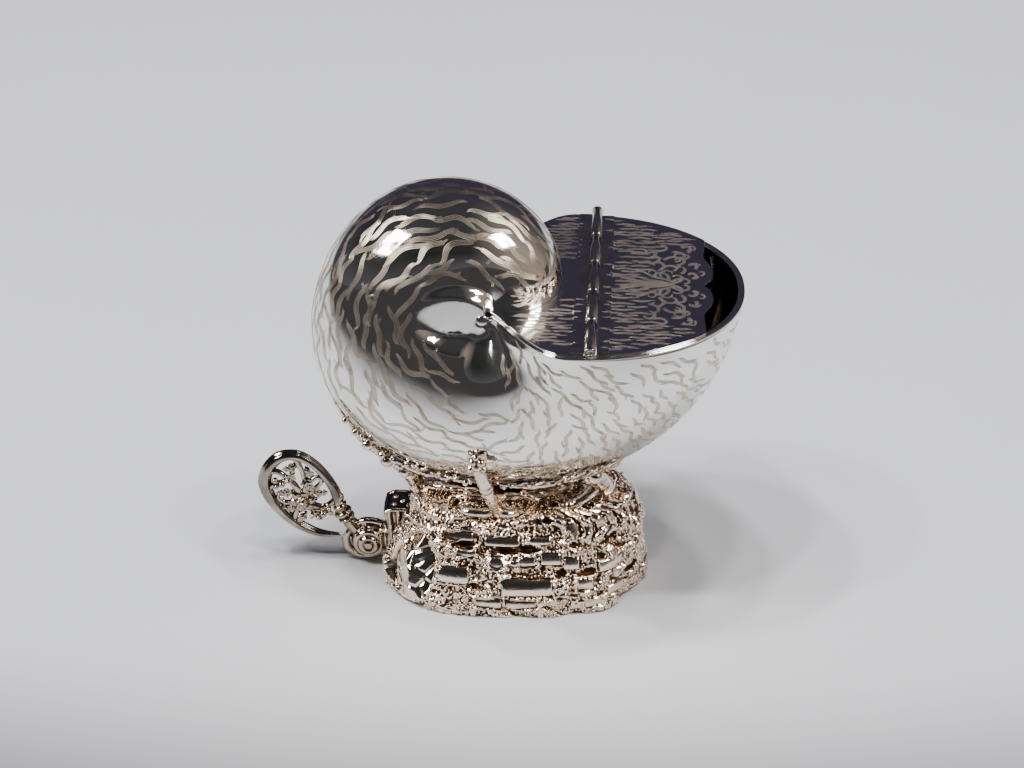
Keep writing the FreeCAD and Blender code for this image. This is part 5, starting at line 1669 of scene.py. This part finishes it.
prof_b = [(0.02, -6.4), (1.2, -6.3), (1.9, -5.7), (2.4, -5.9), (3.3, -6.2), (4.0, -5.6), (4.4, -4.9), (4.9, -5.0),
          (5.8, -4.8), (6.5, -3.9), (6.75, -3.0), (7.1, -2.4), (7.35, -1.2), (7.4, 0.0)]
prof_b = smooth_line(prof_b, 4)
prof_b = np.concatenate([prof_b, (prof_b[::-1] * (1, -1))[1:]])
u = np.linspace(0, 2 * math.pi, 72, endpoint=False)
vv = np.stack([BC[0] + prof_b[None, :, 0] * np.cos(u)[:, None], np.broadcast_to(prof_b[None, :, 1], (72, len(prof_b))),
               BC[2] + prof_b[None, :, 0] * np.sin(u)[:, None]], -1).reshape(-1, 3)
qq = grid_quads(72, len(prof_b), wrap_i=True)
j = np.arange(72)
k = (j + 1) % 72
m_ = len(prof_b)
vv = np.concatenate([vv, [BC + P3(0, -6.4, 0)], [BC + P3(0, 6.4, 0)]])
tt_ = np.concatenate([qq[:, [0, 1, 2]], qq[:, [0, 2, 3]], np.stack([np.full(72, 72 * m_), k * m_, j * m_], -1),
                      np.stack([np.full(72, 72 * m_ + 1), j * m_ + m_ - 1, k * m_ + m_ - 1], -1)])
nk.append((vv, tt_))
nk.append(tube([(-54.4, -1.0, -115.6), (-57.0, -1.2, -119.6), (-56.6, -1.2, -125.0), (-52.4, -1.0, -128.6),
                (-47.0, -.8, -129.2), (-42.0, -.6, -126.8)], [1.2, 1.5, 1.7, 1.6, 1.4, 1.0], n=14))
nk.append(tube([(-53.4, -.6, -114.2), (-49.4, -.8, -112.2), (-44.6, -.8, -112.6), (-41.0, -.6, -114.8)],
               [1.3, 1.5, 1.5, 1.2], n=14))
prof_c = smooth_line([(4.6, -43.6), (5.4, -43.2), (5.2, -42.4), (5.0, -41.8), (5.9, -41.3), (6.3, -40.6), (6.0, -40.0),
                      (6.5, -39.5), (6.7, -38.8)], 4)
vv = np.stack([np.broadcast_to(prof_c[None, :, 1], (72, len(prof_c))), prof_c[None, :, 0] * np.cos(u)[:, None],
               -118.4 + prof_c[None, :, 0] * np.sin(u)[:, None]], -1).reshape(-1, 3)
qq = grid_quads(72, len(prof_c), wrap_i=True)
m_ = len(prof_c)
vv = np.concatenate([vv, [P3(-43.6, 0, -118.4)], [P3(-38.8, 0, -118.4)]])
tt_ = np.concatenate([qq[:, [0, 1, 2]], qq[:, [0, 2, 3]], np.stack([np.full(72, 72 * m_), k * m_, j * m_], -1),
                      np.stack([np.full(72, 72 * m_ + 1), j * m_ + m_ - 1, k * m_ + m_ - 1], -1)])
nk.append((vv, tt_))
o = fused("handle_stem", nk, 0.24, HANDLE_PAINTED_DARK, 0.03, 2.4, 0.0, 25, 1, on_the_shell=False)
piece(o, "root", "cast_silver", "handle_neck", "handle_neck_ring", "handle_boss", "handle_collar")

# the bracket between the collar and the rock: an upright block with ribs and a moulded top
BLK = [(-39.0, -125.4), (-39.0, -110.4), (-40.6, -104.0), (-37.8, -102.2), (-29.4, -102.0), (-33.5, -125.4)]
bl = np.array([(x, sy * 6.1, z) for sy in (-1, 1) for x, z in BLK])
bt = [(i_, (i_ + 1) % 6, 6 + (i_ + 1) % 6) for i_ in range(6)] + [(i_, 6 + (i_ + 1) % 6, 6 + i_) for i_ in range(6)]
bt += [(0, k_, k_ + 1) for k_ in range(1, 5)] + [(6, 6 + k_ + 1, 6 + k_) for k_ in range(1, 5)]
br = [(bl, np.array(bt))]
for y_ in (-5.6, -2.9, 0.0, 2.9, 5.6):
    if abs(y_) > 4:
        br.append(tube([(-39.0, y_, -125.0), (-38.9, y_, -117.0), (-39.1, y_, -110.4), (-40.2, y_, -104.6)], [1.0, 0.8, 0.9, 1.1], n=12))
for sy in (-1, 1):
    for x_, lean_ in ((-37.9, -1.2), (-35.4, 0.0), (-33.0, 1.6)):
        br.append(tube([(x_, sy * 6.0, -124.8), (x_ - 0.1, sy * 6.2, -116.0), (x_ + lean_ * 0.6, sy * 6.2, -109.0),
                        (x_ + lean_, sy * 5.9, -103.6)], [1.0, 0.75, 0.75, 1.05], n=12))
    br.append(tube([(-40.4, sy * 6.0, -103.9), (-37.6, sy * 6.1, -102.7), (-33.4, sy * 6.1, -102.6), (-30.0, sy * 6.0, -102.8)],
                   [0.9, 0.9, 0.9, 0.8], n=12))
    br.append(tube([(-39.4, sy * 5.9, -124.6), (-36.6, sy * 6.1, -124.8), (-33.6, sy * 6.0, -124.8)], [0.8, 0.8, 0.8], n=12))
br.append(tube([(-40.4, -6.0, -103.9), (-40.6, -2.0, -103.8), (-40.6, 2.0, -103.8), (-40.4, 6.0, -103.9)], [0.9, 0.9, 0.9, 0.9], n=12))
for x_, y_, r_ in ((-37.2, -3.0, 1.0), (-34.2, -0.8, 1.2), (-37.0, 2.2, 1.1), (-32.0, -3.6, 1.0), (-31.6, 3.2, 1.1)):
    br.append(ball((x_, y_, -102.4), r_, 14))
o = fused("bracket", br, 0.28, HANDLE_PAINTED_DARK, 0.10, 1.8, 0.0, 41, 1, on_the_shell=False)
piece(o, "root", "cast_silver", "handle_bracket")

# ------------------------------------------------------------------ stage
def camera():
    cd = bpy.data.cameras.new("camera")
    cam = bpy.data.objects.new("camera", cd)
    bpy.context.scene.collection.objects.link(cam)
    e, a = math.radians(33.0), 0.0548
    r = Vector((math.cos(a), math.sin(a), 0))
    u = Vector((-math.sin(a) * math.sin(e), math.cos(a) * math.sin(e), math.cos(e)))
    b = Vector((math.sin(a) * math.cos(e), -math.cos(a) * math.cos(e), math.sin(e)))
    D, tx, ty, S = 2500.0, -25.11, 102.71, 0.375
    c = (b * D - r * tx - u * ty) * S + Vector(A)
    cam.matrix_world = Matrix(((r.x, u.x, b.x, c.x * MM), (r.y, u.y, b.y, c.y * MM),
                               (r.z, u.z, b.z, c.z * MM), (0, 0, 0, 1)))
    cd.sensor_width = 36.0
    cd.lens = D * 36.0 / 1024.0
    cd.clip_start, cd.clip_end = 0.01, 50.0
    bpy.context.scene.camera = cam


camera()


def area(name, az, el, dist, size, power, colour=(1, 1, 1), target=(0.0, 0.0, 0.09)):
    """A soft panel seen from the object at an azimuth (0 from the camera's side, 90 from +X)."""
    ld = bpy.data.lights.new(name, "AREA")
    ld.shape = "RECTANGLE"
    ld.size, ld.size_y = size
    ld.energy = power
    ld.color = colour
    o = bpy.data.objects.new(name, ld)
    bpy.context.scene.collection.objects.link(o)
    a, e = math.radians(az), math.radians(el)
    way = Vector((math.sin(a) * math.cos(e), -math.cos(a) * math.cos(e), math.sin(e)))
    o.location = Vector(target) + way * dist
    o.rotation_euler = way.to_track_quat("Z", "Y").to_euler()
    return o


for nm, az, el, size, power, tint in (("softbox_left", -60, 35, (0.50, 0.60), 1.5, (1.0, 0.97, 0.93)),
                                      ("softbox_right", 64, 41, (0.60, 0.42), 1.3, (1.0, 0.98, 0.95))):
    box = area(nm, az, el, 1.5, size, power, tint)
    box.data.spread = math.radians(42)


def spot(name, place, target, half, blend, power, radius):
    ld = bpy.data.lights.new(name, "SPOT")
    ld.energy = power
    ld.shadow_soft_size = radius
    ld.spot_size = 2 * half
    ld.spot_blend = blend
    o = bpy.data.objects.new(name, ld)
    bpy.context.scene.collection.objects.link(o)
    way = Vector(place) - Vector(target)
    o.location = place
    o.rotation_euler = way.to_track_quat("Z", "Y").to_euler()
    o.visible_glossy = False
    return o


# the light on the floor: a row of lamps whose pool ends just in front of the front view
AIM, EDGE = Vector((0.0, 0.9, 0.0)), Vector((0.0, -0.155, 0.0))
for k, (x, y, z, power) in enumerate(((-1.15, -0.55, 2.15, 38.0), (-0.80, -0.20, 2.35, 42.0), (-0.52, -0.62, 2.3, 38.0),
                                      (-0.22, -0.05, 2.4, 36.0), (0.02, -0.40, 2.4, 34.0), (0.26, 0.12, 2.4, 32.0),
                                      (0.50, -0.50, 2.3, 30.0), (0.78, -0.10, 2.3, 28.0), (1.05, -0.42, 2.2, 28.0))):
    place = Vector((x, y, z))
    spot("lamp_%d" % k, place, AIM, (AIM - place).angle(EDGE - place), 0.05, power, 0.075)

world = bpy.data.worlds.new("studio")
bpy.context.scene.world = world
world.use_nodes = True
wt = world.node_tree
wt.nodes.clear()
wo = wt.nodes.new("ShaderNodeOutputWorld")
bg = wt.nodes.new("ShaderNodeBackground")
wt.links.new(bg.outputs["Background"], wo.inputs["Surface"])
tc = wt.nodes.new("ShaderNodeTexCoord")
sep = wt.nodes.new("ShaderNodeSeparateXYZ")
wt.links.new(tc.outputs["Generated"], sep.inputs["Vector"])
# dark room on the camera's side, a warmer wall to the right, a pale sweep at the back
up = ramp(wt, sep.outputs["Z"], [(0.0, (0.10, 0.10, 0.11)), (0.35, (0.035, 0.036, 0.036)), (0.8, (0.06, 0.06, 0.065))])
side = map_range(wt, sep.outputs["X"], 0.25, 0.95, 0.0, 1.0)
warm = wt.nodes.new("ShaderNodeMix")
warm.data_type = "RGBA"
wt.links.new(side.outputs["Result"], warm.inputs[0])
wt.links.new(up.outputs["Color"], warm.inputs[6])
warm.inputs[7].default_value = (0.34, 0.29, 0.24, 1.0)
back = map_range(wt, sep.outputs["Y"], 0.1, 0.9, 0.0, 1.0)
sweep = wt.nodes.new("ShaderNodeMix")
sweep.data_type = "RGBA"
wt.links.new(back.outputs["Result"], sweep.inputs[0])
wt.links.new(warm.outputs[2], sweep.inputs[6])
sweep.inputs[7].default_value = (0.055, 0.05, 0.075, 1.0)
wt.links.new(sweep.outputs[2], bg.inputs["Color"])
bg.inputs["Strength"].default_value = 1.0

bpy.context.scene.view_settings.look = "AgX - Medium High Contrast"
fm, ft, fs = new_material("floor_paper")
fs.inputs["Metallic"].default_value = 0.0
fs.inputs["Roughness"].default_value = 0.85
fn = noise_node(ft, 3.0, 2.0)
fc = ramp(ft, fn.outputs["Fac"], [(0.2, (0.70, 0.71, 0.74)), (0.8, (0.73, 0.74, 0.765))])
ft.links.new(fc.outputs["Color"], fs.inputs["Base Color"])
floor = mesh_object("floor", [(-4000, -4000, 0), (4000, -4000, 0), (4000, 4000, 0), (-4000, 4000, 0)],
                    quads=[[0, 1, 2, 3]], mat=fm, smooth=False, rel=False)

# the two softboxes light the object alone; the lamps light the floor as well
off_floor = bpy.data.collections.new("off_floor")
off_floor.objects.link(floor)
off_floor.collection_objects[0].light_linking.link_state = "EXCLUDE"
for o in bpy.data.objects:
    if o.type == "LIGHT" and o.name.startswith("softbox"):
        o.light_linking.receiver_collection = off_floor

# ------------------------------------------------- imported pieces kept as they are
LOOKS = {
    "mouth_band": RIM, "fixed_cover": PLATE, "lid_plate": PLATE,
    "cover_hinge_tubes": HINGE, "lid_hinge_tubes": HINGE, "hinge_pin": BRASS,
    "cover_hinge_strip": HINGE, "lid_hinge_strip": HINGE, "rock_base": CAST, "support_saddle": CORAL,
    "saddle_stud": BRASS, "stud_washer": BRASS, "stud_nut": BRASS, "handle_stud": BRASS, "handle_nut": BRASS,
}
for n, o in NODES.items():
    m = LOOKS.get(n)
    if m is None:
        m = HANDLE_PAINTED_DARK if n.startswith("handle") else CORAL
    o.data.materials.clear()
    o.data.materials.append(m)
    if n.endswith("strip") or n == "handle_bracket":
        b = o.modifiers.new("edge", "BEVEL")
        b.width, b.segments, b.limit_method = 0.00016 if n.endswith("strip") else 0.0006, 2, "ANGLE"
